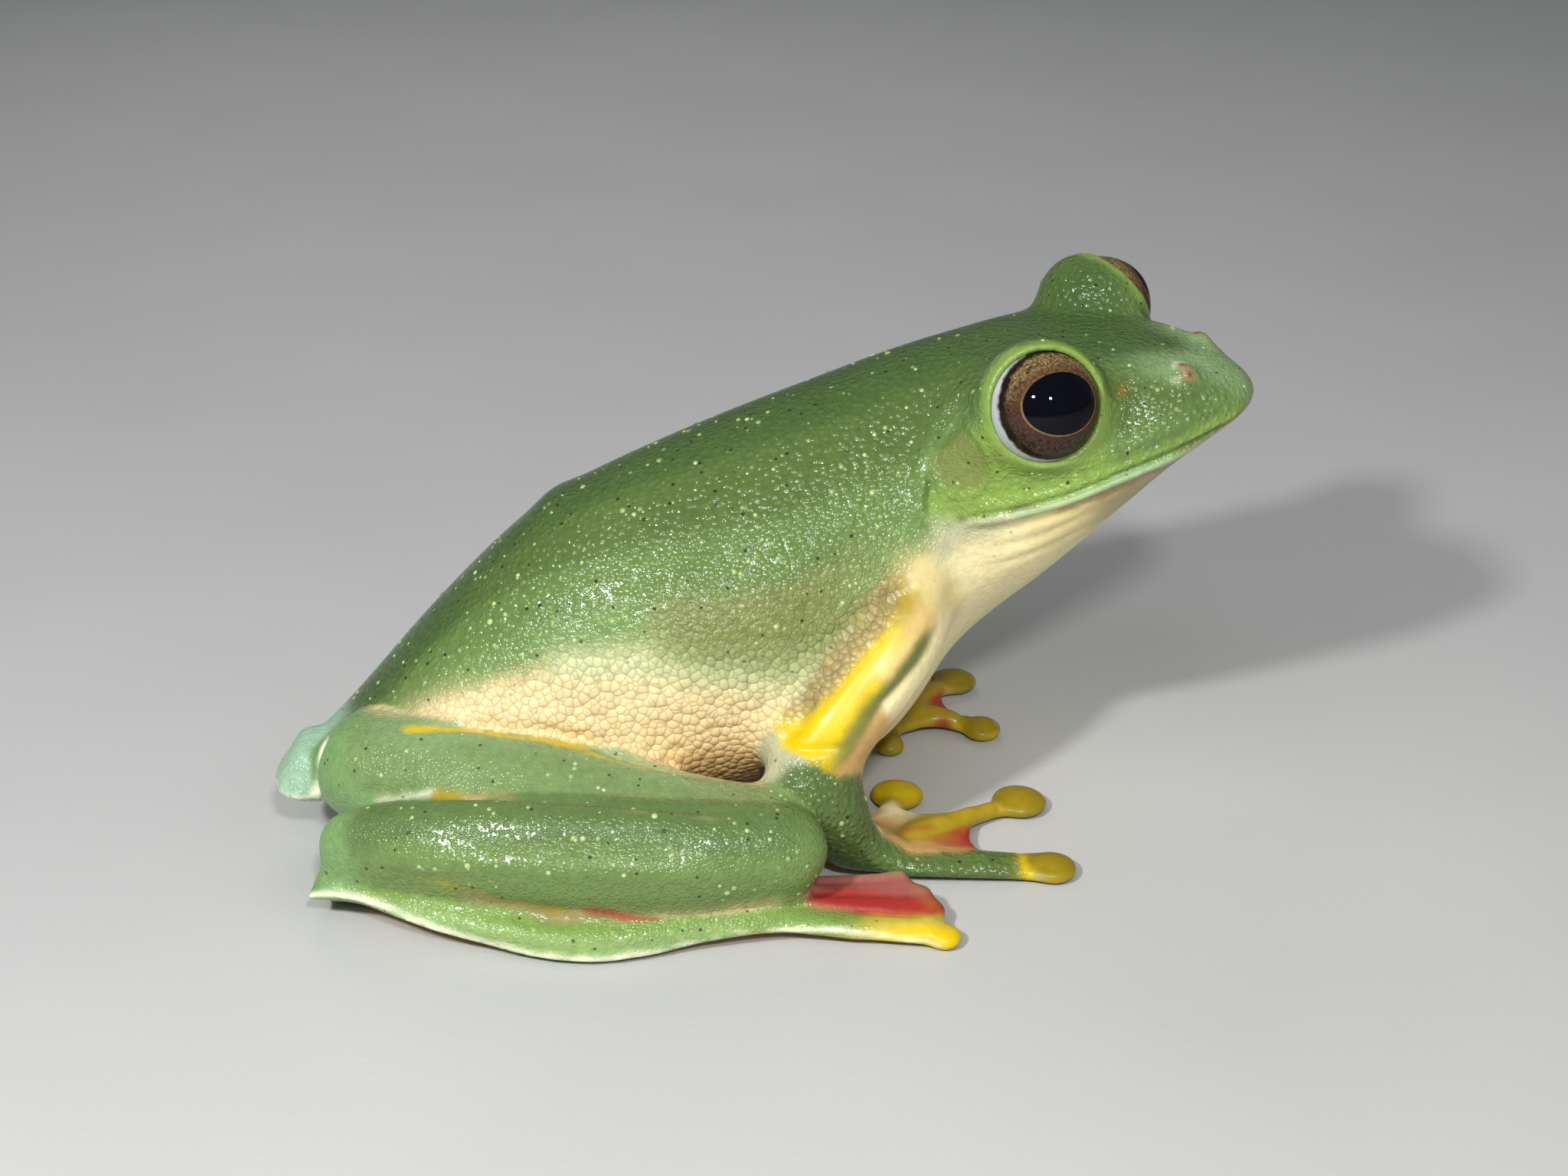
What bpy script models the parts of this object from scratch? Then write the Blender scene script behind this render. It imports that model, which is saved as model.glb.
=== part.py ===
"""A Malabar gliding frog at life size, sitting with its hind legs folded and its head raised and turned.

Sizes are in millimetres and become metres in the meshes. +X runs from rump to snout as the frog
sits, +Y is the frog's left and +Z is up. Trunk and head are one smooth form, parted by thin cuts
at the neck and along the mouth. Each limb is trimmed by slightly grown copies of the parts it
meets, so that the nodes stand face to face, a thin gap apart.
"""

import math

import bmesh
import bpy
import numpy as np
from mathutils import Matrix, Vector

MM = 0.001
GAP = 0.3
UP = Vector((0, 0, 1))

# The head turns about the point midway between the eyeballs.
HEAD = Vector((22.1, 0.0, 36.4))
HEAD_YAW = math.radians(-18.5)
HEAD_ROLL = math.radians(4.0)
FORWARD = Vector((math.cos(HEAD_YAW), math.sin(HEAD_YAW), 0.0))
LEFT = Vector((0.0, math.cos(HEAD_ROLL), math.sin(HEAD_ROLL)))
LEFT.rotate(Matrix.Rotation(HEAD_YAW, 3, "Z"))
ABOVE = FORWARD.cross(LEFT)

EYE_APART = 19.2
EYE_RADIUS = 4.3
LID_RADIUS = 5.15
LID_EDGE = 0.6
EYE_AIM = (0.46, 0.82, 0.34)
# The cut between head and torso from the side: forward of the eyes, height.
NECK = [(-8.6, 48.0), (-8.2, 28.0), (-6.4, 22.0), (-2.0, 16.0), (8.0, 4.0)]
# The mouth line from the side: forward of the eyes, height.
MOUTH = [(-12.0, 25.0), (-3.8, 27.1), (2.0, 28.8), (7.9, 31.0), (11.5, 32.7), (16.0, 35.2)]
LIP = 0.55
NOSTRIL = (10.3, 3.9, 0.8)
EAR = (-5.7, 31.8, 2.4, 2.9)
VENT_FOLD = ((-37.2, -10.9, 5.6), (3.0, 3.6, 1.9))

# Trunk sections: x, y, top, height of the widest line, bottom, half width, fullness above and below.
TRUNK = [
    (-38.8, -11.2, 7.0, 6.0, 5.2, 1.4, 2.0, 2.0),
    (-36.6, -10.6, 8.4, 6.4, 4.2, 3.7, 2.0, 2.0),
    (-33.0, -9.5, 11.4, 7.2, 3.0, 6.0, 2.0, 2.0),
    (-26.0, -7.6, 19.0, 9.0, 2.2, 9.2, 2.0, 2.1),
    (-17.5, -5.3, 26.5, 12.0, 1.7, 11.6, 1.9, 2.2),
    (-6.0, -2.3, 31.1, 14.5, 1.6, 13.9, 1.9, 2.2),
    (4.0, 0.5, 34.3, 17.5, 2.4, 13.4, 1.9, 2.1),
    (9.5, 2.0, 36.1, 20.5, 6.6, 12.6, 1.9, 2.0),
    (13.0, 2.7, 37.0, 23.5, 10.4, 12.2, 2.0, 2.0),
]
# Head sections: forward of the eyes, top, bottom, half width.
SKULL = [
    (-6.0, 37.7, 13.6, 12.4),
    (-2.5, 38.2, 16.8, 12.1),
    (1.5, 38.5, 21.2, 11.0),
    (5.5, 38.5, 25.8, 9.2),
    (9.0, 38.0, 29.8, 7.1),
    (11.8, 37.0, 32.3, 4.8),
    (13.6, 36.0, 33.6, 2.6),
    (14.3, 35.2, 34.1, 1.0),
]
SKULL_FULLNESS = 2.5

# Limb stations: x, y, z, half width, half height, lean of the section outwards.
THIGH_R = [
    (-31.4, -13.6, 7.6, 4.9, 4.9, 0.0),
    (-24.0, -16.6, 7.8, 5.2, 5.0, 0.0),
    (-12.0, -19.8, 7.2, 4.6, 4.1, 0.0),
    (-1.6, -21.4, 6.6, 3.9, 3.3, 0.0),
]
SHIN_R = [
    (0.3, -23.8, 6.4, 3.3, 3.6, 0.3),
    (-8.0, -25.0, 6.6, 3.5, 4.2, 0.4),
    (-18.0, -25.0, 6.9, 3.4, 4.2, 0.4),
    (-27.0, -23.6, 6.7, 3.0, 3.6, 0.3),
    (-32.4, -22.0, 5.8, 2.5, 3.0, 0.0),
]
THIGH_L = [
    (-28.5, -4.0, 8.0, 5.4, 5.6, 0.0),
    (-22.5, 2.5, 7.8, 5.2, 5.0, 0.0),
    (-13.0, 10.4, 7.2, 4.6, 4.1, 0.0),
    (-4.4, 16.6, 6.6, 3.9, 3.3, 0.0),
]
SHIN_L = [
    (-3.4, 19.6, 6.4, 3.3, 3.6, -0.3),
    (-10.0, 17.6, 6.6, 3.5, 4.2, -0.4),
    (-17.5, 13.6, 6.6, 3.4, 4.2, -0.4),
    (-24.5, 9.2, 6.2, 3.0, 3.6, -0.3),
    (-28.6, 6.4, 5.6, 2.5, 3.0, 0.0),
]
UPPER_ARM_R = [
    (10.0, -6.5, 22.4, 4.1, 4.5, 0.0),
    (8.4, -11.0, 17.8, 4.0, 4.2, 0.0),
    (3.0, -15.6, 11.2, 3.8, 3.5, 0.0),
]
FOREARM_R = [
    (2.0, -16.4, 9.4, 4.0, 3.6, 0.0),
    (3.2, -17.0, 6.4, 3.5, 3.3, 0.0),
    (5.2, -16.6, 3.0, 2.5, 2.3, 0.0),
]
UPPER_ARM_L = [
    (10.0, 8.5, 22.5, 4.3, 4.7, 0.0),
    (9.2, 13.0, 17.0, 4.2, 4.4, 0.0),
    (6.2, 15.6, 10.8, 3.8, 3.5, 0.0),
]
FOREARM_L = [
    (5.6, 15.4, 9.4, 4.0, 3.6, 0.0),
    (6.8, 13.6, 6.2, 3.5, 3.3, 0.0),
    (8.8, 10.8, 3.0, 2.5, 2.3, 0.0),
]

# Digits: start x, y, z, then tip x, y, z, half width, disc radius.
PALM_R = [(4.6, -16.8, 2.6, 2.7, 2.2, 0.0), (8.2, -14.9, 1.2, 3.2, 1.4, 0.0)]
FINGERS_R = [
    ((5.6, -13.4, 1.2), (3.4, -8.4, 0.7), 0.9, 1.5),
    ((7.4, -12.6, 1.2), (9.2, -5.6, 0.7), 1.0, 2.3),
    ((9.6, -13.2, 1.2), (19.0, -6.7, 0.7), 1.0, 2.4),
    ((8.4, -16.8, 1.3), (20.7, -16.9, 0.7), 2.0, 2.1),
]
PALM_L = [(8.4, 11.2, 2.6, 2.7, 2.2, 0.0), (10.0, 8.8, 1.2, 3.2, 1.4, 0.0)]
FINGERS_L = [
    ((9.4, 7.0, 1.2), (8.9, 2.7, 0.7), 0.9, 1.4),
    ((11.8, 7.6, 1.2), (16.9, 5.7, 0.7), 1.0, 1.8),
    ((11.6, 10.0, 1.2), (15.0, 14.6, 0.7), 1.0, 2.2),
    ((9.8, 11.2, 1.2), (8.6, 18.4, 0.7), 1.2, 1.8),
]
TARSUS_R = [
    (-33.0, -22.6, 2.2, 2.3, 2.4, 0.0),
    (-25.0, -24.8, 2.0, 2.8, 2.2, 0.0),
    (-15.0, -26.4, 1.7, 3.0, 1.9, 0.0),
    (-7.0, -25.2, 1.5, 3.0, 1.6, 0.0),
    (-1.0, -24.4, 1.4, 2.7, 1.4, 0.0),
]
TOES_R = [
    ((-4.0, -22.6, 2.3), (8.6, -21.2, 2.2), 0.9, 1.0),
    ((-4.0, -23.4, 2.3), (10.2, -22.5, 1.7), 0.9, 1.1),
    ((-4.0, -24.4, 2.1), (11.0, -24.0, 1.3), 0.9, 1.2),
    ((-4.0, -25.2, 1.8), (11.8, -26.6, 0.7), 0.9, 1.5),
    ((-4.0, -25.8, 1.4), (10.6, -26.2, 1.1), 1.1, 1.4),
]
CALCAR_R = [(-32.6, -22.6, 2.8, 0.9, 1.2, 0.0), (-35.2, -23.9, 2.4, 0.4, 0.5, 0.0)]
FRINGE_R = [
    (-33.0, -23.2, 2.4, 1.0, 0.45, 0.0),
    (-28.6, -24.5, 1.9, 1.0, 0.45, 0.0),
    (-22.5, -26.9, 1.1, 1.1, 0.45, 0.0),
    (-15.4, -28.8, 0.7, 1.2, 0.45, 0.0),
    (-10.3, -28.2, 0.7, 1.1, 0.45, 0.0),
    (-4.4, -26.4, 0.9, 1.0, 0.45, 0.0),
    (4.3, -26.4, 1.0, 0.9, 0.45, 0.0),
    (10.0, -27.0, 0.9, 0.8, 0.45, 0.0),
]
TARSUS_L = [
    (-29.0, 7.2, 2.2, 2.3, 2.4, 0.0),
    (-22.5, 13.2, 2.0, 2.8, 2.2, 0.0),
    (-14.0, 18.6, 1.7, 3.0, 1.9, 0.0),
    (-6.0, 21.0, 1.5, 3.0, 1.6, 0.0),
    (-0.6, 22.6, 1.4, 2.7, 1.4, 0.0),
]
TOES_L = [
    ((-3.6, 19.6, 2.3), (8.0, 21.6, 2.2), 0.9, 1.0),
    ((-3.6, 20.4, 2.3), (9.4, 23.2, 1.7), 0.9, 1.1),
    ((-3.6, 21.2, 2.1), (10.0, 24.8, 1.3), 0.9, 1.2),
    ((-3.6, 22.0, 1.8), (10.4, 27.4, 0.7), 0.9, 1.5),
    ((-3.6, 22.6, 1.4), (9.4, 27.0, 1.1), 1.1, 1.4),
]
CALCAR_L = [(-28.6, 7.4, 2.8, 0.9, 1.2, 0.0), (-31.0, 8.2, 2.4, 0.4, 0.5, 0.0)]
FRINGE_L = [
    (-28.6, 8.4, 2.4, 1.0, 0.45, 0.0),
    (-24.0, 13.6, 1.7, 1.0, 0.45, 0.0),
    (-18.5, 18.0, 1.0, 1.1, 0.45, 0.0),
    (-12.0, 21.4, 0.7, 1.2, 0.45, 0.0),
    (-5.0, 23.4, 0.9, 1.0, 0.45, 0.0),
    (3.0, 25.2, 1.0, 0.9, 0.45, 0.0),
    (8.6, 27.2, 0.9, 0.8, 0.45, 0.0),
]

TRUNK_COUNT = 32
TRUNK_STEPS = 5
LIMB_COUNT = 14
LIMB_STEPS = 3
CAP_TURNS = (0.5, 0.95, 1.3)
# The sections' headings are averaged over this many stations, so that they fan out at the turned neck.
TURN_SPREAD = 3

# Size of the remesh cells, and triangles that each form is brought down to.
BODY_CELL = 0.4
DIGIT_CELL = 0.28
BODY_FACES = 4000
HEAD_FACES = 5600
JAW_FACES = 700
FOOT_FACES = 1300
HAND_FACES = 1150

# Thickness of the webs, and how far along the digits they reach.
WEB = 0.9
TOE_WEB = 0.95
FINGER_WEB = 0.6


def clear_scene():
    for obj in list(bpy.data.objects):
        bpy.data.objects.remove(obj, do_unlink=True)


def curve_through(stations, steps):
    """Rows of numbers on a smooth curve through the stations."""
    rows = np.array(stations, float)
    rows = np.vstack([2 * rows[0] - rows[1], rows, 2 * rows[-1] - rows[-2]])
    made = []
    for before, start, end, after in zip(rows, rows[1:], rows[2:], rows[3:]):
        for t in np.arange(steps) / steps:
            square = before - 2.5 * start + 2 * end - 0.5 * after
            cube = 1.5 * start - 0.5 * before - 1.5 * end + 0.5 * after
            made.append(start + 0.5 * t * (end - before) + t**2 * square + t**3 * cube)
    made.append(rows[-2])
    return np.array(made)


def power(value, fullness):
    """A sine or cosine pushed towards a fuller or leaner curve, with its sign kept."""
    return math.copysign(abs(value) ** (2 / fullness), value)


def new_object(name, mesh):
    bmesh.ops.recalc_face_normals(mesh, faces=mesh.faces)
    data = bpy.data.meshes.new(name)
    mesh.to_mesh(data)
    mesh.free()
    obj = bpy.data.objects.new(name, data)
    bpy.context.scene.collection.objects.link(obj)
    return obj


def body_from_rings(name, rings):
    """One closed object from rings of points in millimetres, each ring running the same way."""
    mesh = bmesh.new()
    loops = [[mesh.verts.new(Vector(p) * MM) for p in ring] for ring in rings]
    count = len(loops[0])
    for near, far in zip(loops, loops[1:]):
        for k in range(count):
            mesh.faces.new((near[k], near[(k + 1) % count], far[(k + 1) % count], far[k]))
    mesh.faces.new(loops[0][::-1])
    mesh.faces.new(loops[-1])
    return new_object(name, mesh)


def mouth_height(ahead):
    return float(np.interp(ahead, *zip(*MOUTH)))


def at_head(ahead, left, height):
    """A point by its place forward and left of the eyes' middle, at a height above the floor."""
    point = HEAD + FORWARD * ahead + LEFT * left
    return point + UP * (height - HEAD.z)


def trunk():
    """The trunk and head in one loft of upright sections, as a ship's frames."""
    stations = [(x, y, 0.0, *rest) for x, y, *rest in TRUNK]
    for ahead, top, bottom, half in SKULL:
        centre = HEAD + FORWARD * ahead
        lip = mouth_height(ahead)
        wide = min(max(lip, bottom + 0.25 * (top - bottom)), top - 0.35 * (top - bottom))
        roll = HEAD_ROLL * min(1.0, (ahead + 10.5) / 6.0)
        stations.append((centre.x, centre.y, roll, top, wide, bottom, half, SKULL_FULLNESS, 2.0))
    rows = curve_through(stations, TRUNK_STEPS)
    steps = np.gradient(rows[:, :2], axis=0)
    headings = np.arctan2(steps[:, 1], steps[:, 0])
    spread = TURN_SPREAD * TRUNK_STEPS // 2
    headings = np.pad(headings, spread, "edge")
    headings = np.convolve(headings, np.ones(2 * spread + 1) / (2 * spread + 1), "valid")
    rings = []
    for row, heading in zip(rows, headings):
        x, y, roll, top, wide, bottom, half, above, below = row
        way = Vector((math.cos(heading), math.sin(heading), 0.0))
        side = UP.cross(way)
        pivot = Vector((x, y, HEAD.z))
        turn = Matrix.Rotation(roll, 3, way)
        ring = []
        for k in range(TRUNK_COUNT):
            angle = 2 * math.pi * k / TRUNK_COUNT
            upper = math.sin(angle) > 0
            fullness = above if upper else below
            reach = top - wide if upper else wide - bottom
            across = side * half * power(math.cos(angle), fullness)
            offset = across + UP * (wide - HEAD.z + reach * power(math.sin(angle), fullness))
            ring.append(pivot + turn @ offset)
        rings.append(ring)
    return body_from_rings("trunk", rings)


def limb(name, stations, count=LIMB_COUNT):
    """A round limb along its stations, with rounded ends."""
    rows = curve_through(stations, LIMB_STEPS)
    ways = np.gradient(rows[:, :3], axis=0)
    frames = []
    for row, way in zip(rows, ways):
        way = Vector(way).normalized()
        side = UP.cross(way).normalized()
        lean = Matrix.Rotation(row[5], 3, way)
        frames.append((Vector(row[:3]), way, lean @ side, lean @ way.cross(side), row[3], row[4]))
    for sign, at in ((-1, 0), (1, -1)):
        centre, way, side, rise, wide, high = frames[at]
        reach = way * sign * min(wide, high)
        caps = []
        for turn in CAP_TURNS:
            lean = math.cos(turn)
            caps.append((centre + reach * math.sin(turn), way, side, rise, wide * lean, high * lean))
        frames = caps[::-1] + frames if sign < 0 else frames + caps
    rings = []
    for centre, way, side, rise, wide, high in frames:
        turns = [2 * math.pi * k / count for k in range(count)]
        rings.append([centre + side * wide * math.cos(t) + rise * high * math.sin(t) for t in turns])
    return body_from_rings(name, rings)


def ball(name, centre, radii, turn=None, rings=10, segments=18):
    """An ellipsoid, in millimetres."""
    mesh = bmesh.new()
    bmesh.ops.create_uvsphere(mesh, u_segments=segments, v_segments=rings, radius=1.0)
    place = Matrix.Translation(Vector(centre) * MM)
    if turn:
        place = place @ turn.to_4x4()
    place = place @ Matrix.Diagonal((*(r * MM for r in radii), 1.0))
    bmesh.ops.transform(mesh, matrix=place, verts=mesh.verts)
    return new_object(name, mesh)


def slab(name, outline, thick):
    """A flat sheet: its outline's points lie on its middle, its thickness stands upright."""
    rings = [[p + UP * thick * share for p in outline] for share in (-0.5, 0.5)]
    return body_from_rings(name, rings)


def evaluated(obj):
    """Replaces the object's mesh by what its modifiers make, and clears them."""
    bpy.context.view_layer.update()
    graph = bpy.context.evaluated_depsgraph_get()
    made = bpy.data.meshes.new_from_object(obj.evaluated_get(graph))
    obj.modifiers.clear()
    obj.data = made
    return obj


def copy_of(obj, name):
    twin = obj.copy()
    twin.data = obj.data.copy()
    twin.name = name
    bpy.context.scene.collection.objects.link(twin)
    return twin


def islands_of(mesh):
    """The separate surfaces of a bmesh, the largest first."""
    left = set(mesh.verts)
    islands = []
    while left:
        island = [left.pop()]
        for vert in island:
            for edge in vert.link_edges:
                other = edge.other_vert(vert)
                if other in left:
                    left.remove(other)
                    island.append(other)
        islands.append(island)
    return sorted(islands, key=len, reverse=True)


def keep_island(obj, way=None):
    """Leaves the largest separate surface or, of the two largest, the one that lies further that way."""
    mesh = bmesh.new()
    mesh.from_mesh(obj.data)
    islands = islands_of(mesh)
    kept = islands[0]
    if way:
        kept = max(islands[:2], key=lambda verts: sum(v.co.dot(way) for v in verts) / len(verts))
    for island in islands:
        if island is not kept:
            bmesh.ops.delete(mesh, geom=island, context="VERTS")
    mesh.to_mesh(obj.data)
    mesh.free()
    return obj


def thin_out(obj, faces):
    """Brings the object down to about this many triangles."""
    obj.data.calc_loop_triangles()
    modifier = obj.modifiers.new("thin", "DECIMATE")
    modifier.ratio = min(1.0, faces / len(obj.data.loop_triangles))
    modifier.use_collapse_triangulate = True
    return evaluated(obj)


def fuse(name, pieces, voxel, smooth, faces=None):
    """One smooth closed skin over all the pieces, which are used up."""
    mesh = bmesh.new()
    for piece in pieces:
        mesh.from_mesh(piece.data)
        bpy.data.objects.remove(piece, do_unlink=True)
    obj = new_object(name, mesh)
    remesh = obj.modifiers.new("skin", "REMESH")
    remesh.mode = "VOXEL"
    remesh.voxel_size = voxel * MM
    soften = obj.modifiers.new("soften", "SMOOTH")
    soften.factor = 0.5
    soften.iterations = smooth
    keep_island(evaluated(obj))
    return thin_out(obj, faces) if faces else obj


def grown(obj, gap=GAP):
    """A copy whose skin stands a gap further out."""
    twin = copy_of(obj, "cutter")
    swell = twin.modifiers.new("swell", "DISPLACE")
    swell.mid_level = 0.0
    swell.strength = gap * MM
    swell.direction = "NORMAL"
    return evaluated(twin)


def trim(obj, *cutters):
    """Cuts the cutters' forms away from the object, and removes them."""
    for cutter in cutters:
        modifier = obj.modifiers.new("trim", "BOOLEAN")
        modifier.object = cutter
        modifier.operation = "DIFFERENCE"
        modifier.solver = "EXACT"
        evaluated(obj)
        bpy.data.objects.remove(cutter, do_unlink=True)
    return obj


def slice_off(obj, point, normal):
    """Removes what lies beyond a plane, on the side that its normal points to, and closes the cut."""
    mesh = bmesh.new()
    mesh.from_mesh(obj.data)
    geometry = mesh.verts[:] + mesh.edges[:] + mesh.faces[:]
    plane = {"plane_co": Vector(point) * MM, "plane_no": normal}
    cut = bmesh.ops.bisect_plane(mesh, geom=geometry, dist=1e-7, clear_outer=True, **plane)
    edges = [e for e in cut["geom_cut"] if isinstance(e, bmesh.types.BMEdge)]
    bmesh.ops.holes_fill(mesh, edges=edges, sides=0)
    bmesh.ops.triangulate(mesh, faces=[f for f in mesh.faces if len(f.verts) > 4])
    bmesh.ops.recalc_face_normals(mesh, faces=mesh.faces)
    mesh.to_mesh(obj.data)
    mesh.free()
    return obj


def eye_frame(side):
    """Centre and aim of the eyeball on the frog's left (1) or right (-1)."""
    centre = HEAD + LEFT * (side * EYE_APART / 2)
    ahead, out, up = EYE_AIM
    aim = (FORWARD * ahead + LEFT * side * out + ABOVE * up).normalized()
    return centre, aim


def skull_half_width(ahead):
    columns = list(zip(*SKULL))
    return float(np.interp(ahead, columns[0], columns[3]))


def head_relief():
    """Lids, nostril bumps, lip edges and ear drums, as pieces to fuse into the head."""
    pieces = []
    for side in (1, -1):
        centre, aim = eye_frame(side)
        lid = ball("lid", centre, (LID_RADIUS,) * 3)
        pieces.append(slice_off(lid, centre + aim * LID_EDGE, aim))
        ahead, out, radius = NOSTRIL
        pieces.append(ball("nostril", at_head(ahead, side * out, 37.0), (radius * 1.4, radius, radius)))
        lip = []
        for step in np.linspace(-4.5, 13.4, 8):
            half = skull_half_width(step)
            point = at_head(step, side * (half - 0.25), mouth_height(step) + LIP)
            lip.append((*point, LIP, LIP, 0.0))
        pieces.append(limb("lip", lip, count=8))
        ahead, height, long, tall = EAR
        half = skull_half_width(ahead)
        turn = Matrix((FORWARD, LEFT, ABOVE)).transposed()
        pieces.append(ball("ear", at_head(ahead, side * (half - 1.0), height), (long, 1.0, tall), turn))
    return pieces


def thin_cut(line, way):
    """A slab as thick as the gap, that follows a line seen from the side, right across the head."""
    near = [at_head(ahead, 0, height) - way * GAP / 2 for ahead, height in line]
    outline = near + [p + way * GAP for p in near[::-1]]
    across = Vector((LEFT.x, LEFT.y, 0.0)).normalized()
    rings = [[p + across * reach for p in outline] for reach in (-24, 24)]
    return body_from_rings("cut", rings)


def build_head():
    """Torso, head and lower jaw, parted from one fused form, with its eyeballs."""
    fold = ball("fold", VENT_FOLD[0], VENT_FOLD[1])
    whole = fuse("whole", [trunk(), fold, *head_relief()], BODY_CELL, 3)
    torso = trim(thin_out(copy_of(whole, "torso"), BODY_FACES), thin_cut(NECK, FORWARD))
    keep_island(torso, -FORWARD)
    head = trim(thin_out(copy_of(whole, "head"), HEAD_FACES), thin_cut(NECK, FORWARD))
    keep_island(head, FORWARD)
    body = thin_out(whole, BODY_FACES)
    trim(head, thin_cut(MOUTH, UP))
    jaw = thin_out(keep_island(copy_of(head, "lower_jaw"), -UP), JAW_FACES)
    keep_island(head, UP)
    eyes = []
    for side, end in ((1, "left"), (-1, "right")):
        centre, aim = eye_frame(side)
        trim(head, ball("socket", centre, (EYE_RADIUS + GAP,) * 3))
        ahead, out, radius = NOSTRIL
        pit = at_head(ahead + 0.3, side * (out + 0.75), 37.3)
        trim(head, ball("pit", pit, (0.45, 0.45, 0.35), rings=6, segments=8))
        eyes.append(ball("eye_" + end, centre, (EYE_RADIUS,) * 3))
    return body, torso, head, jaw, eyes


def digit_pieces(digits, share):
    """Digits with discs at their tips, and the web between neighbours, as pieces to fuse."""
    pieces = []
    for start, tip, half, disc in digits:
        start, tip = Vector(start), Vector(tip)
        way = (tip - start).normalized()
        high = min(half, 1.0) * 0.9
        last = tip - way * disc * 0.5
        stations = [(*start, half, high, 0.0), (*start.lerp(last, 0.5), half * 0.9, high * 0.9, 0.0)]
        pieces.append(limb("digit", stations + [(*last, half * 0.85, high * 0.85, 0.0)], count=10))
        turn = Matrix.Rotation(math.atan2(way.y, way.x), 3, "Z")
        pieces.append(ball("disc", tip, (disc, disc * 1.05, 0.85), turn, rings=8, segments=14))
    for (start, tip, _, _), (second, other, _, _) in zip(digits, digits[1:]):
        start, tip, second, other = Vector(start), Vector(tip), Vector(second), Vector(other)
        reach, across = start.lerp(tip, share), second.lerp(other, share)
        hollow = reach.lerp(across, 0.5).lerp(start.lerp(second, 0.5), 0.15)
        pieces.append(slab("web", [start, reach, hollow, across, second], WEB))
    return pieces


def on_floor(obj):
    """Cuts the soles flat at floor height."""
    return slice_off(obj, (0, 0, 0), -UP)


def build_frog():
    body, *nodes = build_head()
    eyes = nodes.pop()
    nodes += eyes
    reach = {}
    thighs = {}
    for end, thigh, shin, tarsus, toes, calcar, fringe in (
        ("right", THIGH_R, SHIN_R, TARSUS_R, TOES_R, CALCAR_R, FRINGE_R),
        ("left", THIGH_L, SHIN_L, TARSUS_L, TOES_L, CALCAR_L, FRINGE_L),
    ):
        thigh = trim(limb("thigh_" + end, thigh), grown(body))
        whole_shin = limb("shin_" + end, shin)
        pieces = [limb("tarsus", tarsus), limb("calcar", calcar), limb("fringe", fringe, count=8)]
        pieces += digit_pieces(toes, TOE_WEB)
        foot = fuse("foot_" + end, pieces, DIGIT_CELL, 2, FOOT_FACES)
        trim(foot, grown(body), grown(whole_shin), grown(thigh))
        reach[end] = grown(whole_shin)
        thighs[end] = thigh
        shin = trim(whole_shin, grown(body), grown(thigh))
        nodes += [thigh, shin, on_floor(keep_island(foot))]
    for end, upper, lower, palm, fingers in (
        ("right", UPPER_ARM_R, FOREARM_R, PALM_R, FINGERS_R),
        ("left", UPPER_ARM_L, FOREARM_L, PALM_L, FINGERS_L),
    ):
        whole_arm = limb("upper_arm_" + end, upper)
        forearm = limb("forearm_" + end, lower)
        pieces = [limb("palm", palm), *digit_pieces(fingers, FINGER_WEB)]
        hand = fuse("hand_" + end, pieces, DIGIT_CELL, 2, HAND_FACES)
        trim(hand, grown(body), grown(forearm), copy_of(reach[end], "cutter"))
        trim(forearm, grown(body), grown(whole_arm), grown(thighs[end]), reach[end])
        arm = trim(whole_arm, grown(body))
        nodes += [keep_island(arm), keep_island(forearm), on_floor(keep_island(hand))]
    bpy.data.objects.remove(body, do_unlink=True)
    return nodes


def to_origin(nodes):
    """Brings the middle of the frog's box to the origin, with the soles at floor height."""
    points = [v.co for obj in nodes for v in obj.data.vertices]
    middle = [(min(p[k] for p in points) + max(p[k] for p in points)) / 2 for k in (0, 1)]
    for obj in nodes:
        obj.data.transform(Matrix.Translation((-middle[0], -middle[1], 0.0)))


def finish(obj):
    """Gives a node its own plain material."""
    eye = obj.name.startswith("eye")
    material = bpy.data.materials.new(obj.name)
    material.use_nodes = True
    shader = material.node_tree.nodes["Principled BSDF"]
    shader.inputs["Base Color"].default_value = (0.02, 0.015, 0.012, 1) if eye else (0.10, 0.24, 0.04, 1)
    shader.inputs["Roughness"].default_value = 0.15 if eye else 0.35
    obj.data.materials.clear()
    obj.data.materials.append(material)
    obj.data.shade_smooth()
    obj.data.set_sharp_from_angle(angle=math.radians(40))


clear_scene()
frog = build_frog()
to_origin(frog)
for node in frog:
    finish(node)
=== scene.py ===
"""The finish of a Malabar gliding frog at life size: one moist skin over its flesh, and its eyes.

Lengths are written in millimetres and become metres in the meshes. +X runs from rump to snout as
the frog sits, +Y is the frog's left and +Z is up.
"""

import math

import bpy
import numpy as np
from mathutils import Matrix, Vector, noise
from mathutils.bvhtree import BVHTree


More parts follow.
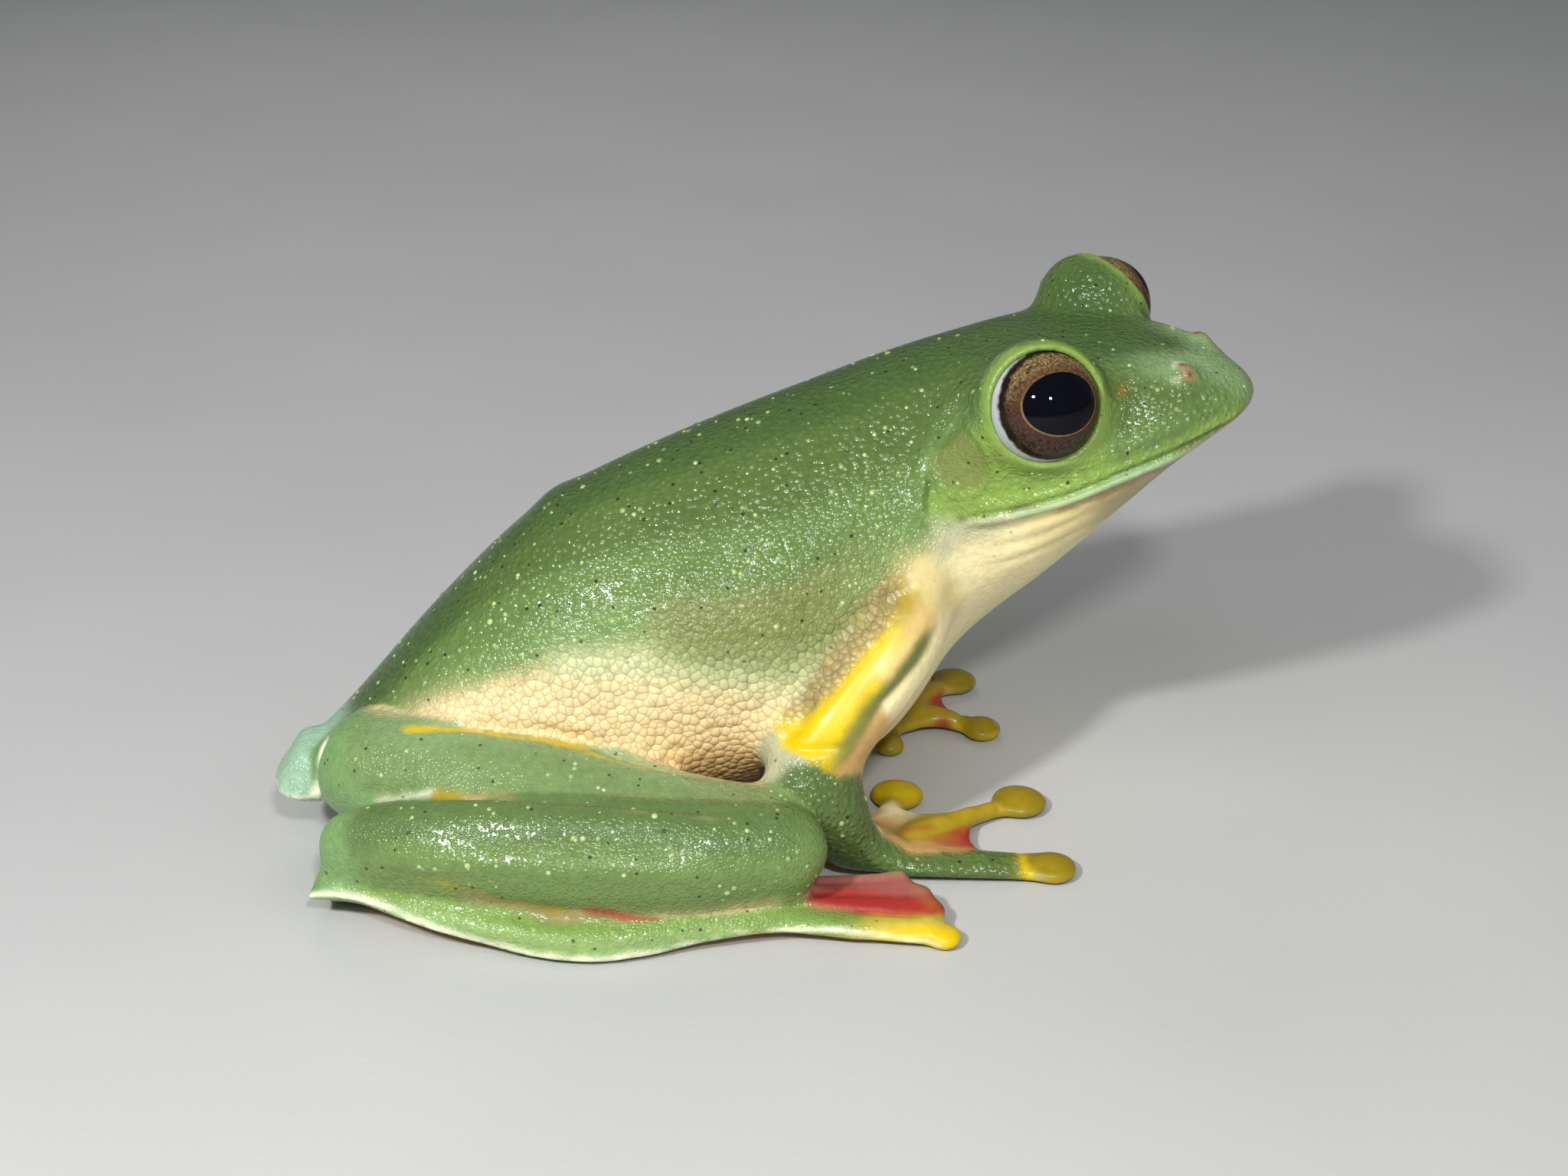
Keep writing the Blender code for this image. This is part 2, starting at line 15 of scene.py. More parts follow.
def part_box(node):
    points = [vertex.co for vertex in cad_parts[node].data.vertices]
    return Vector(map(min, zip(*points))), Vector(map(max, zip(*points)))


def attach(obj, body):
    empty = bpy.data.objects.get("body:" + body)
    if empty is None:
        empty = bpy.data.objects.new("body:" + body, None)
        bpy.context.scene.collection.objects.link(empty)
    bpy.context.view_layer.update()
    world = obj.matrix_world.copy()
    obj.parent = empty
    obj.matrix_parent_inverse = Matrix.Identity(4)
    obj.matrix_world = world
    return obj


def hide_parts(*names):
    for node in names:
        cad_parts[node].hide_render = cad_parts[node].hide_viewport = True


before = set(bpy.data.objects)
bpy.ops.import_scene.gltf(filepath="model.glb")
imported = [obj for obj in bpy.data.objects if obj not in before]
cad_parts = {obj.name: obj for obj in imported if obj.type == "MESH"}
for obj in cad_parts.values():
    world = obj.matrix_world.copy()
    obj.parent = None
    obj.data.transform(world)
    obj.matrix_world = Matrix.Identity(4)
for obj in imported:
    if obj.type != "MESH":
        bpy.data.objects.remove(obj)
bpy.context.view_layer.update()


# The head's own directions, which everything on it is placed by. They come from the two eyeballs:
# HEAD lies midway between them, LEFT runs from one to the other, and FORWARD points out level.
MM = 0.001
UP = Vector((0, 0, 1))


def middle_of(node):
    low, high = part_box(node)
    return (low + high) / 2 / MM


HEAD = (middle_of("eye_left") + middle_of("eye_right")) / 2
LEFT = (middle_of("eye_left") - middle_of("eye_right")).normalized()
FORWARD = LEFT.cross(UP).normalized()
ABOVE = FORWARD.cross(LEFT)
ACROSS = UP.cross(FORWARD)
SIDES = {"left": 1, "right": -1}


def by_head(ahead, left, height):
    """A point by its place ahead of the eyes' middle and to its left, at a height above the floor."""
    return HEAD + FORWARD * ahead + ACROSS * left + UP * (height - HEAD.z)


# The skin's form. A frog's hide is one sheet over all its flesh, so it is fused from the packed
# parts: each is swollen until the thin cuts between them close, and the whole is drawn in again.
# Where two parts of the flesh met, the skin is then evened out as it would grow.
SWELL = 0.27
SHARP = 50.0
FORM_CELL = 0.34
flesh = [name for name in sorted(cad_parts) if not name.startswith("eye")]


def activate(obj):
    bpy.ops.object.select_all(action="DESELECT")
    obj.select_set(True)
    bpy.context.view_layer.objects.active = obj


def apply(obj, kind, **settings):
    """Adds a modifier with these settings to the object, and applies it."""
    modifier = obj.modifiers.new(kind.lower(), kind)
    for name, value in settings.items():
        setattr(modifier, name, value)
    activate(obj)
    bpy.ops.object.modifier_apply(modifier=modifier.name)


def joined(pieces, name):
    activate(pieces[0])
    for piece in pieces:
        piece.select_set(True)
    bpy.ops.object.join()
    bpy.context.object.name = name
    return bpy.context.object


def flesh_copy(name):
    """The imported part's mesh in an object of its own, closed, made rounder and swollen."""
    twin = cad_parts[name].copy()
    twin.data = twin.data.copy()
    bpy.context.scene.collection.objects.link(twin)
    activate(twin)
    bpy.ops.object.mode_set(mode="EDIT")
    bpy.ops.mesh.select_all(action="SELECT")
    bpy.ops.mesh.remove_doubles(threshold=0.000001)
    bpy.ops.mesh.select_all(action="DESELECT")
    bpy.ops.mesh.edges_select_sharp(sharpness=math.radians(SHARP))
    bpy.ops.transform.edge_crease(value=1.0)
    bpy.ops.object.mode_set(mode="OBJECT")
    twin.data.shade_smooth()
    apply(twin, "SUBSURF", levels=2)
    apply(twin, "DISPLACE", strength=SWELL * MM, mid_level=0.0)
    return twin


class Clay:
    """The points of a mesh in millimetres, to be moved in code and put back."""

    def __init__(self, obj):
        self.obj = obj
        flat = np.empty(2 * len(obj.data.edges), np.int32)
        obj.data.edges.foreach_get("vertices", flat)
        self.links = flat.reshape(-1, 2)
        flat = np.empty(3 * len(obj.data.vertices), np.float32)
        obj.data.vertices.foreach_get("co", flat)
        self.points = flat.reshape(-1, 3).astype(float) / MM
        self.settle()

    def settle(self):
        """Puts the points into the mesh and reads how the surface faces now."""
        self.obj.data.vertices.foreach_set("co", (self.points * MM).astype(np.float32).ravel())
        self.obj.data.update()
        bpy.context.view_layer.update()
        flat = np.empty(3 * len(self.points), np.float32)
        self.obj.data.vertex_normals.foreach_get("vector", flat)
        self.normals = flat.reshape(-1, 3).astype(float)

    def relax(self, weight, rounds):
        """Evens the surface out where the weight is above 0."""
        links = self.links[(weight > 0.01)[self.links].any(axis=1)]
        used, local = np.unique(links, return_inverse=True)
        local = local.reshape(-1, 2)
        starts = np.concatenate([local[:, 0], local[:, 1]])
        ends = np.concatenate([local[:, 1], local[:, 0]])
        count = np.bincount(starts)
        points = self.points[used]
        share = 0.7 * np.clip(weight[used], 0, 1)[:, None]
        for _ in range(rounds):
            sums = [np.bincount(starts, points[ends, axis]) / count for axis in range(3)]
            points += (np.stack(sums, axis=1) - points) * share
        self.points[used] = points
        self.settle()

    def press(self, line, width, depth, fade=0.12):
        """Draws a groove along the line, or a ridge where the depth is below 0, that fades at its ends."""
        gap, along = near(self.points, line, 3 * width)
        ends = np.clip(np.minimum(along, 1 - along) / fade, 0, 1) if fade else 1.0
        self.points -= self.normals * (depth * ends * bell(gap, width))[:, None]

    def snapped(self, line):
        """The line's points, brought onto the skin."""
        return rows(self.obj.closest_point_on_mesh(Vector(p) * MM)[1] / MM for p in line)

    def first_hit(self, start, way):
        """Where a line from outside first meets the skin."""
        found, place, _, _ = self.obj.ray_cast(Vector(start) * MM, Vector(way))
        if not found:
            raise ValueError(f"no skin ahead of {tuple(start)}")
        return place / MM


def rows(places):
    return np.array([tuple(place) for place in places], float)


def bell(gap, width):
    return np.exp(-((gap / width) ** 2))


def near(points, line, reach=np.inf):
    """How far each point is from a line, and where along it, from 0 to 1, or infinity beyond reach."""
    line = rows(line)
    gap = np.full(len(points), np.inf)
    along = np.zeros(len(points))
    inside = np.all((points > line.min(0) - reach) & (points < line.max(0) + reach), axis=1)
    close = points[inside]
    best = np.full(len(close), np.inf)
    place = np.full(len(close), 0.5)
    if len(line) == 1:
        best = np.linalg.norm(close - line[0], axis=1)
    lengths = np.linalg.norm(np.diff(line, axis=0), axis=1)
    done = 0.0
    for start, end, length in zip(line, line[1:], lengths):
        if length == 0:
            continue
        step = end - start
        share = np.clip((close - start) @ step / (step @ step), 0, 1)
        away = np.linalg.norm(close - start - share[:, None] * step, axis=1)
        closer = away < best
        best[closer] = away[closer]
        place[closer] = (done + share[closer] * length) / lengths.sum()
        done += length
    gap[inside] = best
    along[inside] = place
    return gap, along


def gap_to(points, targets, reach):
    """How far each point is from the nearest of some targets, or infinity beyond reach."""
    targets = rows(targets)
    gap = np.full(len(points), np.inf)
    inside = np.all((points > targets.min(0) - reach) & (points < targets.max(0) + reach), axis=1)
    close = points[inside]
    best = np.full(len(close), np.inf)
    for target in targets:
        best = np.minimum(best, np.linalg.norm(close - target, axis=1))
    gap[inside] = best
    return gap


def mesh_tree(*nodes):
    """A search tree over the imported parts' faces, and the part that each face is of."""
    points = []
    faces = []
    owner = []
    for number, name in enumerate(nodes):
        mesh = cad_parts[name].data
        first = len(points)
        points += [v.co / MM for v in mesh.vertices]
        faces += [[first + k for k in face.vertices] for face in mesh.polygons]
        owner += [number] * len(mesh.polygons)
    return BVHTree.FromPolygons(points, faces), np.array(owner)


def owners(points):
    """For each point, the number in flesh of the part that it is nearest to."""
    tree, owner = mesh_tree(*flesh)
    return owner[[tree.find_nearest(point)[2] for point in points]]


def meeting(part, other, within=0.6):
    """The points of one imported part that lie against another."""
    tree, _ = mesh_tree(other)
    points = [v.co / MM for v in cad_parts[part].data.vertices]
    return rows(p for p in points if tree.find_nearest(p, within)[0])


def closeness(targets, width, reach=None):
    """1 at the targets and nearly 0 from two widths on, for each point of the clay."""
    return bell(gap_to(clay.points, targets, reach or 3 * width), width)


# The eyelids. Each eye sits in a thick, smooth rim that the lids make round it: a ring that rests
# on the eyeball, swollen as the flesh is and fused with it.
EYEBALL = (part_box("eye_left")[1].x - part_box("eye_left")[0].x) / 2 / MM
LID_AIM = (0.46, 0.82, 0.34)
LID_RIM = 4.5
LID_THICK = 0.36
LID_CLEAR = 0.06
LID_AHEAD = math.sqrt((EYEBALL + LID_THICK + LID_CLEAR) ** 2 - LID_RIM**2)


def aim(side, ahead, out, up):
    """A direction from an eye, by how far it points ahead, outwards and up."""
    return (FORWARD * ahead + LEFT * side * out + ABOVE * up).normalized()


def lid_rim(end):
    way = aim(SIDES[end], *LID_AIM)
    bpy.ops.mesh.primitive_torus_add(
        major_radius=LID_RIM * MM,
        minor_radius=(LID_THICK + SWELL) * MM,
        major_segments=64,
        minor_segments=12,
        location=(middle_of("eye_" + end) + way * LID_AHEAD) * MM,
        rotation=way.to_track_quat("Z", "Y").to_euler(),
    )
    return bpy.context.object


# The whole is fused and drawn in. Each part's surface is rounded off, but the folds where limbs lie
# against each other stay, and so does most of the flesh round the vent.
SKIN_CELL = 0.2
SHOULDER = 18.5
TOUCHING = [
    ("thigh", "torso"), ("thigh", "shin"), ("foot", "shin"), ("foot", "thigh"),
    ("upper_arm", "torso"), ("forearm", "torso"), ("forearm", "thigh"),
]
FOLD_WIDTH = 1.1
FOLD_REACH = 4
ROUNDING = {
    "torso": 60, "thigh": 45, "shin": 45, "upper_arm": 40, "forearm": 20, "head": 7, "lower_jaw": 12,
}
VENT = (-35.2, -10.4, 5.6)
VENT_WIDTH = 4.5
VENT_REACH = 12
VENT_KEPT = 0.85
form = joined([flesh_copy(name) for name in flesh] + [lid_rim(end) for end in SIDES], "form")
form.data.materials.clear()
apply(form, "REMESH", mode="VOXEL", voxel_size=FORM_CELL * MM)
apply(form, "SMOOTH", factor=0.5, iterations=3)
apply(form, "DISPLACE", strength=-SWELL * MM, mid_level=0.0)
clay = Clay(form)
owner = owners(clay.points)
folds = []
for end in SIDES:
    for part, other in TOUCHING:
        fold = meeting(f"{part}_{end}", other if other == "torso" else f"{other}_{end}")
        if part == "upper_arm":
            fold = fold[fold[:, 2] < SHOULDER]
        folds += list(fold)
held = closeness(folds, FOLD_WIDTH, FOLD_REACH)
vent_fold = closeness([VENT], VENT_WIDTH, VENT_REACH)
part_of = [name.replace("_left", "").replace("_right", "") for name in flesh]
for part, rounds in ROUNDING.items():
    mine = np.isin(owner, [n for n, name in enumerate(part_of) if name == part])
    clay.relax(mine * (1 - VENT_KEPT * vent_fold) * (1 - held), rounds)

# The seams between parts are evened out as far as these widths, and so are two lumps on each side
# of the head, which are placed ahead of the eyes, outwards and by height.
LUMPS = [((-5.9, 12.0, 31.6), 3.6), ((10.4, 3.9, 37.0), 1.8)]
LUMP_WEIGHT = 1.3
SEAM_ROUNDS = 70
seams = [("torso", "head", 2.4), ("torso", "lower_jaw", 2.4)]
for end in SIDES:
    seams += [("torso", "upper_arm_" + end, 2.4), ("upper_arm_" + end, "forearm_" + end, 1.6)]
    seams += [("forearm_" + end, "hand_" + end, 1.2)]
even = np.zeros(len(clay.points))
for part, other, width in seams:
    places = meeting(part, other)
    if other.startswith("upper_arm"):
        places = places[places[:, 2] > SHOULDER]
    even = np.maximum(even, closeness(places, width))
for side in SIDES.values():
    for (ahead, out, height), width in LUMPS:
        lump = by_head(ahead, side * out, height)
        even = np.maximum(even, LUMP_WEIGHT * closeness([lump], width))
clay.relax(even, SEAM_ROUNDS)

# Corners that this takes off are raised again: the back's hump, and the top of the fold over the vent.
HUMP = [(-16.6, 4.5, 25.4), (-16.6, 0.5, 26.6), (-16.3, -3.5, 26.4), (-16.2, -7, 25)]
VENT_TOP = [(-35.2, -13.4, 7.4), (-35.6, -10.5, 8), (-35, -7.5, 8)]
for line, width, depth in ((HUMP, 1.9, -0.36), (VENT_TOP, 1.5, -0.9)):
    clay.press(clay.snapped(line), width, depth, fade=0.2)
clay.settle()
skin = form
skin.name = "skin"
apply(skin, "REMESH", mode="VOXEL", voxel_size=SKIN_CELL * MM)
apply(skin, "SMOOTH", factor=0.5, iterations=4)


# The skin's relief on the head: mouth and lips, ear drums, the fold over them, the ridge from eye
# to nostril, the nostrils, and the crease round the lids. Lines are pressed in or raised.
MOUTH = [(-5.6, 26.7), (-3.8, 27.3), (2.0, 29.0), (6.2, 30.8), (9.0, 31.9), (11.5, 33.0), (13.6, 34.0)]
LIP = 0.5
DRUM = (-5.5, 31.3)
DRUM_SIZE = (2.3, 2.8)
DRUM_FOLD = [(-4.4, 35.9), (-6.2, 35.3), (-7.9, 33.6), (-8.5, 31.0), (-8.4, 28.4), (-8.0, 25.6)]
EYE_RIDGE = [(3.6, 7.9), (4.8, 5.7), (6.9, 4.4), (8.6, 3.5), (11.4, 2.4)]
CHEEK_HOLLOW = (6.0, 34.9)
NOSTRIL = (9.4, 3.3)
LID_PULL = 0.35


def smooth_line(places, steps=8):
    """Points on a smooth curve through the places."""
    spots = rows(places)
    spots = np.vstack([2 * spots[0] - spots[1], spots, 2 * spots[-1] - spots[-2]])
    made = []
    for before, start, end, after in zip(spots, spots[1:], spots[2:], spots[3:]):
        for t in np.arange(steps) / steps:
            square = before - 2.5 * start + 2 * end - 0.5 * after
            cube = 1.5 * start - 0.5 * before - 1.5 * end + 0.5 * after
            made.append(start + 0.5 * t * (end - before) + t**2 * square + t**3 * cube)
    made.append(spots[-2])
    return np.array(made)


def beside(side, ahead, height):
    """The skin at that place, seen level from the head's side."""
    return clay.first_hit(by_head(ahead, side * 40, height), -ACROSS * side)


def from_above(ahead, left):
    return clay.first_hit(by_head(ahead, left, 70), -UP)


def side_line(side, places, rise=0.0):
    return smooth_line([beside(side, ahead, height + rise) for ahead, height in places], 4)


clay = Clay(skin)
turns = [2 * math.pi * k / 24 for k in range(25)]
marks = {}
for end, side in SIDES.items():
    slit = side_line(side, MOUTH)
    upper_lip = side_line(side, MOUTH, LIP)
    lower_lip = side_line(side, MOUTH[:-1], -LIP)
    under_lip = side_line(side, MOUTH[:-2], -2.4 * LIP)
    lip_band = side_line(side, MOUTH[2:6], 3.6 * LIP)
    ring = [(DRUM[0] + DRUM_SIZE[0] * math.cos(t), DRUM[1] + DRUM_SIZE[1] * math.sin(t)) for t in turns]
    drum_rim = rows(beside(side, *place) for place in ring)
    drum = rows([beside(side, *DRUM)])
    drum_fold = side_line(side, DRUM_FOLD)
    ridge = smooth_line([from_above(ahead, side * left) for ahead, left in EYE_RIDGE])
    nostril = from_above(NOSTRIL[0], side * NOSTRIL[1])
    slot_way = (FORWARD * 0.5 + UP * -0.4 + ACROSS * side * 0.3).normalized()
    nostril_slot = [nostril + slot_way * reach for reach in (-0.3, 0.35)]
    middle = middle_of("eye_" + end)
    centre = np.array(middle)
    way = aim(side, *LID_AIM)
    across = way.orthogonal().normalized()
    outs = rows(Matrix.Rotation(turn, 3, way) @ across for turn in turns)
    lid_crease = np.array(middle + way * 0.4) + outs * (LID_RIM + 1.05)
    clay.press([beside(side, *CHEEK_HOLLOW)], 1.9, 0.3)
    clay.press(ridge, 0.8, -0.22)
    clay.press(drum_fold, 0.7, -0.3)
    clay.settle()
    clay.press(drum_fold + np.array(FORWARD) * 0.7, 0.35, 0.16)
    clay.press(drum, 1.7, 0.25)
    clay.press(drum_rim, 0.32, -0.14, fade=0)
    clay.press(upper_lip, 0.4, -0.1)
    clay.press(lip_band, 0.9, -0.2)
    clay.press(lower_lip, 0.36, -0.16)
    clay.press(under_lip, 0.5, 0.14)
    clay.press(lid_crease, 0.35, 0.07, fade=0)
    clay.press([nostril], 0.75, -0.42)
    clay.settle()
    clay.press(slit, 0.2, 0.42)
    clay.press(nostril_slot, 0.2, 0.55, fade=0)
    # The lid's inner edge is drawn down until it lies on the eyeball.
    out = clay.points - centre
    far = np.maximum(np.linalg.norm(out, axis=1), 1e-9)
    lid_edge = centre + way * (LID_AHEAD - 0.3) + outs * (LID_RIM - 0.2)
    pull = LID_PULL * bell(near(clay.points, lid_edge, 1.5)[0], 0.42)
    room = np.maximum(far - EYEBALL - 0.01, 0)
    clay.points -= out / far[:, None] * np.minimum(pull, room)[:, None]
    clay.settle()
    marks[end] = {
        "slit": slit, "upper_lip": upper_lip, "lower_lip": lower_lip, "under_lip": under_lip,
        "drum": drum, "drum_shadow": drum_fold + np.array(FORWARD) * 0.55,
        "lid": np.array(middle + way * LID_AHEAD) + outs * LID_RIM, "nostril": nostril_slot,
    }


# Each side's twin of a place. The photograph shows the frog's right side, so a place on the trunk
# is mirrored about the trunk's own middle line, and a place on a limb is carried over to the other
# limb by its share along that limb's axes.
TRUNK_MIDDLE = Vector((-4.0, -1.8, 0))
TRUNK_WAY = Vector((0.968, 0.25, 0))


def own_axes(node, side):
    """A limb part's middle, its axes (along, up, outwards) as rows, and its half sizes on them."""
    points = rows(v.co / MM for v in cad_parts[node].data.vertices)
    along = Vector(np.linalg.eigh(np.cov(points.T))[1][:, 2])
    along *= math.copysign(1, along.x)
    rise = (UP - along * along.z).normalized()
    axes = np.array([along, rise, along.cross(rise) * -side])
    shares = points @ axes.T
    middle = (shares.min(0) + shares.max(0)) / 2
    return middle @ axes, axes, (shares.max(0) - shares.min(0)) / 2


def twin_line(part, line):
    """The same line on the frog's left side."""
    if part in ("head", "lower_jaw"):
        return line - np.outer((line - np.array(HEAD)) @ np.array(ACROSS) * 2, ACROSS)
    if part == "torso":
        out = UP.cross(TRUNK_WAY)
        return line - np.outer((line - np.array(TRUNK_MIDDLE)) @ np.array(out) * 2, out)
    middle, axes, sizes = own_axes(part + "_right", -1)
    other, other_axes, other_sizes = own_axes(part + "_left", 1)
    return other + ((line - middle) @ axes.T / sizes * other_sizes) @ other_axes


def on_both(part, places):
    """The line through these places on the frog's right, and its twin on the left. Places on the
    head are written ahead of the eyes, to the left and by height."""
    if part in ("head", "lower_jaw"):
        places = [by_head(*place) for place in places]
    line = smooth_line(places, 4) if len(places) > 1 else rows(places)
    return {"right": line, "left": twin_line(part, line)}


# The skin's relief on trunk and limbs: the folds where an arm lies on the flank, the fold under the
# arm's stripe, wrinkles at the elbow, hollows along shin and tarsus, the edge of the fold over the
# vent, and the throat's wrinkles. Each row: part, width, depth, places on the frog's right.
FOLDS = [
    ("torso", 0.8, 0.55, [(12, -11.5, 23), (9.5, -12, 21), (7, -12.8, 19.5), (5, -13.8, 17.5)]),
    ("torso", 0.8, 0.5, [(4.5, -15, 15.5), (3, -16.5, 13.5), (1.5, -16.5, 11)]),
    ("torso", 1.6, 0.35, [(14, -10, 25), (15.3, -9.4, 22), (15.3, -9.4, 19.5)]),
    ("upper_arm", 0.5, 0.22, [(14.2, -11.6, 19.5), (12.8, -13.6, 17.6), (10.2, -15.8, 15.4),
            (8, -17.5, 13)]),
    ("upper_arm", 0.7, -0.2, [(13, -13, 19.5), (11, -14.9, 17.8), (9, -16.6, 15.2)]),
    ("upper_arm", 0.6, 0.18, [(11, -12.6, 21.3), (8.6, -14.4, 19), (6, -16, 16.4), (4, -17.2, 14.2)]),
    ("forearm", 0.35, 0.22, [(1, -16.6, 11.4), (3.4, -18.2, 12), (6, -18.6, 12.2), (7.6, -18, 12)]),
    ("forearm", 0.35, 0.16, [(1.4, -17.6, 9.6), (4, -19, 10.2), (7, -19, 10.4)]),
    ("thigh", 0.7, 0.4, [(-31, -18.2, 8), (-28, -19.2, 9), (-24, -20.4, 9.8)]),
    ("thigh", 0.5, 0.5, [(-27, -15.6, 12.6), (-20, -15.9, 12.6), (-14, -16.3, 12), (-8, -17.8, 11.4),
            (-3, -19.6, 10.6)]),
    ("shin", 0.5, 0.45, [(-29, -20.8, 8.8), (-22, -21.8, 10.2), (-14, -23.2, 10.8), (-6, -24, 10.4),
            (0, -24.4, 9.8)]),
    ("shin", 1.3, 0.4, [(-25, -25.2, 8.6), (-18, -26.4, 9.4), (-10, -26.8, 9.3), (-3, -26.8, 8.8)]),
    ("shin", 0.8, -0.2, [(-27, -25.8, 7), (-18, -27.4, 7.4), (-8, -27.8, 7.2), (2, -26.8, 6.4)]),
    ("foot", 1.0, 0.35, [(-22, -26.2, 4.2), (-18, -27, 3.8), (-14, -27.4, 3.2), (-9, -27, 3)]),
    ("foot", 0.8, -0.22, [(-28, -25.6, 3), (-20, -27.6, 2.3), (-12, -28.6, 1.8), (-3, -26.8, 2.3)]),
    ("torso", 0.4, 0.5, [(-34, -13.4, 5.2), (-33.2, -13.8, 7.5), (-33, -13.2, 10.6)]),
    ("torso", 0.45, -0.3, [(-37.4, -12, 5.6), (-36.2, -13.4, 5.4), (-34.6, -13.8, 5.4)]),
    ("lower_jaw", 0.4, 0.14, [(-4, -11.8, 25.6), (0, -11.6, 26.4), (4, -10.4, 27.8)]),
    ("lower_jaw", 0.5, 0.14, [(-4, -11.6, 24), (1, -11, 25), (5, -9, 27.2)]),
    ("lower_jaw", 0.5, 0.12, [(-4, -11, 22.2), (1, -10, 23.2), (5, -7, 26)]),
]
# Digits: where each leaves the hand or foot, its tip, and its disc's radius.
DIGITS = [
    ((7.6, -12.9, 1.8), (5.4, -7.9, 1.3), 1.5),
    ((9.5, -12.1, 1.8), (11.3, -5.1, 1.4), 2.3),
    ((11.7, -12.7, 1.8), (21.1, -6.2, 1.4), 2.4),
    ((10.5, -16.3, 2.2), (22.8, -16.4, 1.4), 2.1),
    ((11.5, 7.5, 1.8), (11.0, 3.2, 1.3), 1.4),
    ((13.9, 8.1, 1.8), (19.0, 6.2, 1.4), 1.8),
    ((13.7, 10.5, 1.8), (17.1, 15.1, 1.4), 2.2),
    ((11.9, 11.7, 1.8), (10.7, 18.9, 1.4), 1.8),
]
TOES = [
    ((-2.0, -22.1, 3.0), (10.6, -20.7, 3.0), 1.0),
    ((-2.0, -22.9, 3.0), (12.2, -22.0, 2.5), 1.1),
    ((-2.0, -23.9, 2.9), (13.0, -23.5, 2.1), 1.2),
    ((-2.0, -24.7, 2.6), (13.8, -26.1, 1.5), 1.5),
]


# The white fringe along the foot's outer edge. Under it the foot draws in, so that the fringe stands
# over the floor as a free edge, which fades out towards the toes.
FRINGE = [
    (-33.4, -23.6, 2.6), (-30, -24.4, 3.3), (-27.6, -25.5, 3), (-24, -26.9, 2.2), (-20, -28, 1.4),
    (-16, -29, 0.8), (-12, -29.4, 0.6), (-8, -28.7, 0.7), (-4, -27.6, 1.2), (0, -26.7, 1.6),
    (5, -26.4, 1.5), (10, -26.9, 1.1), (14, -27.7, 0.8),
]
FRINGE_THICK = 0.25
UNDERCUT = 1.25
UNDERCUT_REACH = 5.5
UNDERCUT_DEEPEST = 2.5
UNDERCUT_END = 7
for end, fringe in on_both("foot", FRINGE).items():
    order = np.argsort(fringe[:, 0])
    edge_out, edge_high = (np.interp(clay.points[:, 0], fringe[order, 0], fringe[order, k]) for k in (1, 2))
    side = SIDES[end]
    below = np.clip(edge_high - FRINGE_THICK - clay.points[:, 2], 0, UNDERCUT_DEEPEST)
    within = (edge_out - clay.points[:, 1]) * side
    fading = np.clip(1 - within / UNDERCUT_REACH, 0, 1) * (within > -1.5)
    fading *= clay.points[:, 0] > fringe[:, 0].min() - 0.5
    fading *= np.clip((UNDERCUT_END - clay.points[:, 0]) / 4, 0, 1)
    clay.points[:, 1] -= side * UNDERCUT * below * fading
clay.settle()
for part, width, depth, places in FOLDS:
    for line in on_both(part, places).values():
        clay.press(clay.snapped(line), width, depth, fade=0.25)
clay.settle()
# Each digit gets a groove round its disc, a swell on the disc, two knuckles and a neck before the disc.
DISC_GROOVE = 0.72
KNUCKLES = (0.35, 0.68)
DIGIT_SWELL = -0.16
NECK = 1.15
for start, tip, disc in DIGITS:
    start, tip = Vector(start), Vector(tip)
    way = (tip - start).normalized()
    across = UP.cross(way)
    around = [tip + (way * math.cos(turn) + across * math.sin(turn)) * disc * DISC_GROOVE for turn in turns]
    clay.press(clay.snapped(around), 0.25, 0.05, fade=0)
    clay.press([tip], disc * 0.6, DIGIT_SWELL)
    for share in KNUCKLES:
        clay.press(clay.snapped([start.lerp(tip - way * disc, share)]), 0.8, DIGIT_SWELL)
    neck = tip - way * disc * NECK
    clay.press(clay.snapped([neck - across, neck + across]), 0.3, 0.12, fade=0)
for (start, tip, _), (second, other, _) in zip(TOES, TOES[1:]):
    hollow = np.linspace((np.array(start) + second) / 2, (np.array(tip) + other) / 2, 12)
    for line in on_both("foot", hollow).values():
        clay.press(clay.snapped(line), 0.32, 0.2, fade=0.2)
clay.settle()


# The skin is brought down to a lighter mesh.
SKIN_FACES = 196000
triangles = sum(len(face.vertices) - 2 for face in skin.data.polygons)
apply(skin, "DECIMATE", ratio=SKIN_FACES / triangles)
skin.data.shade_smooth()
clay = Clay(skin)


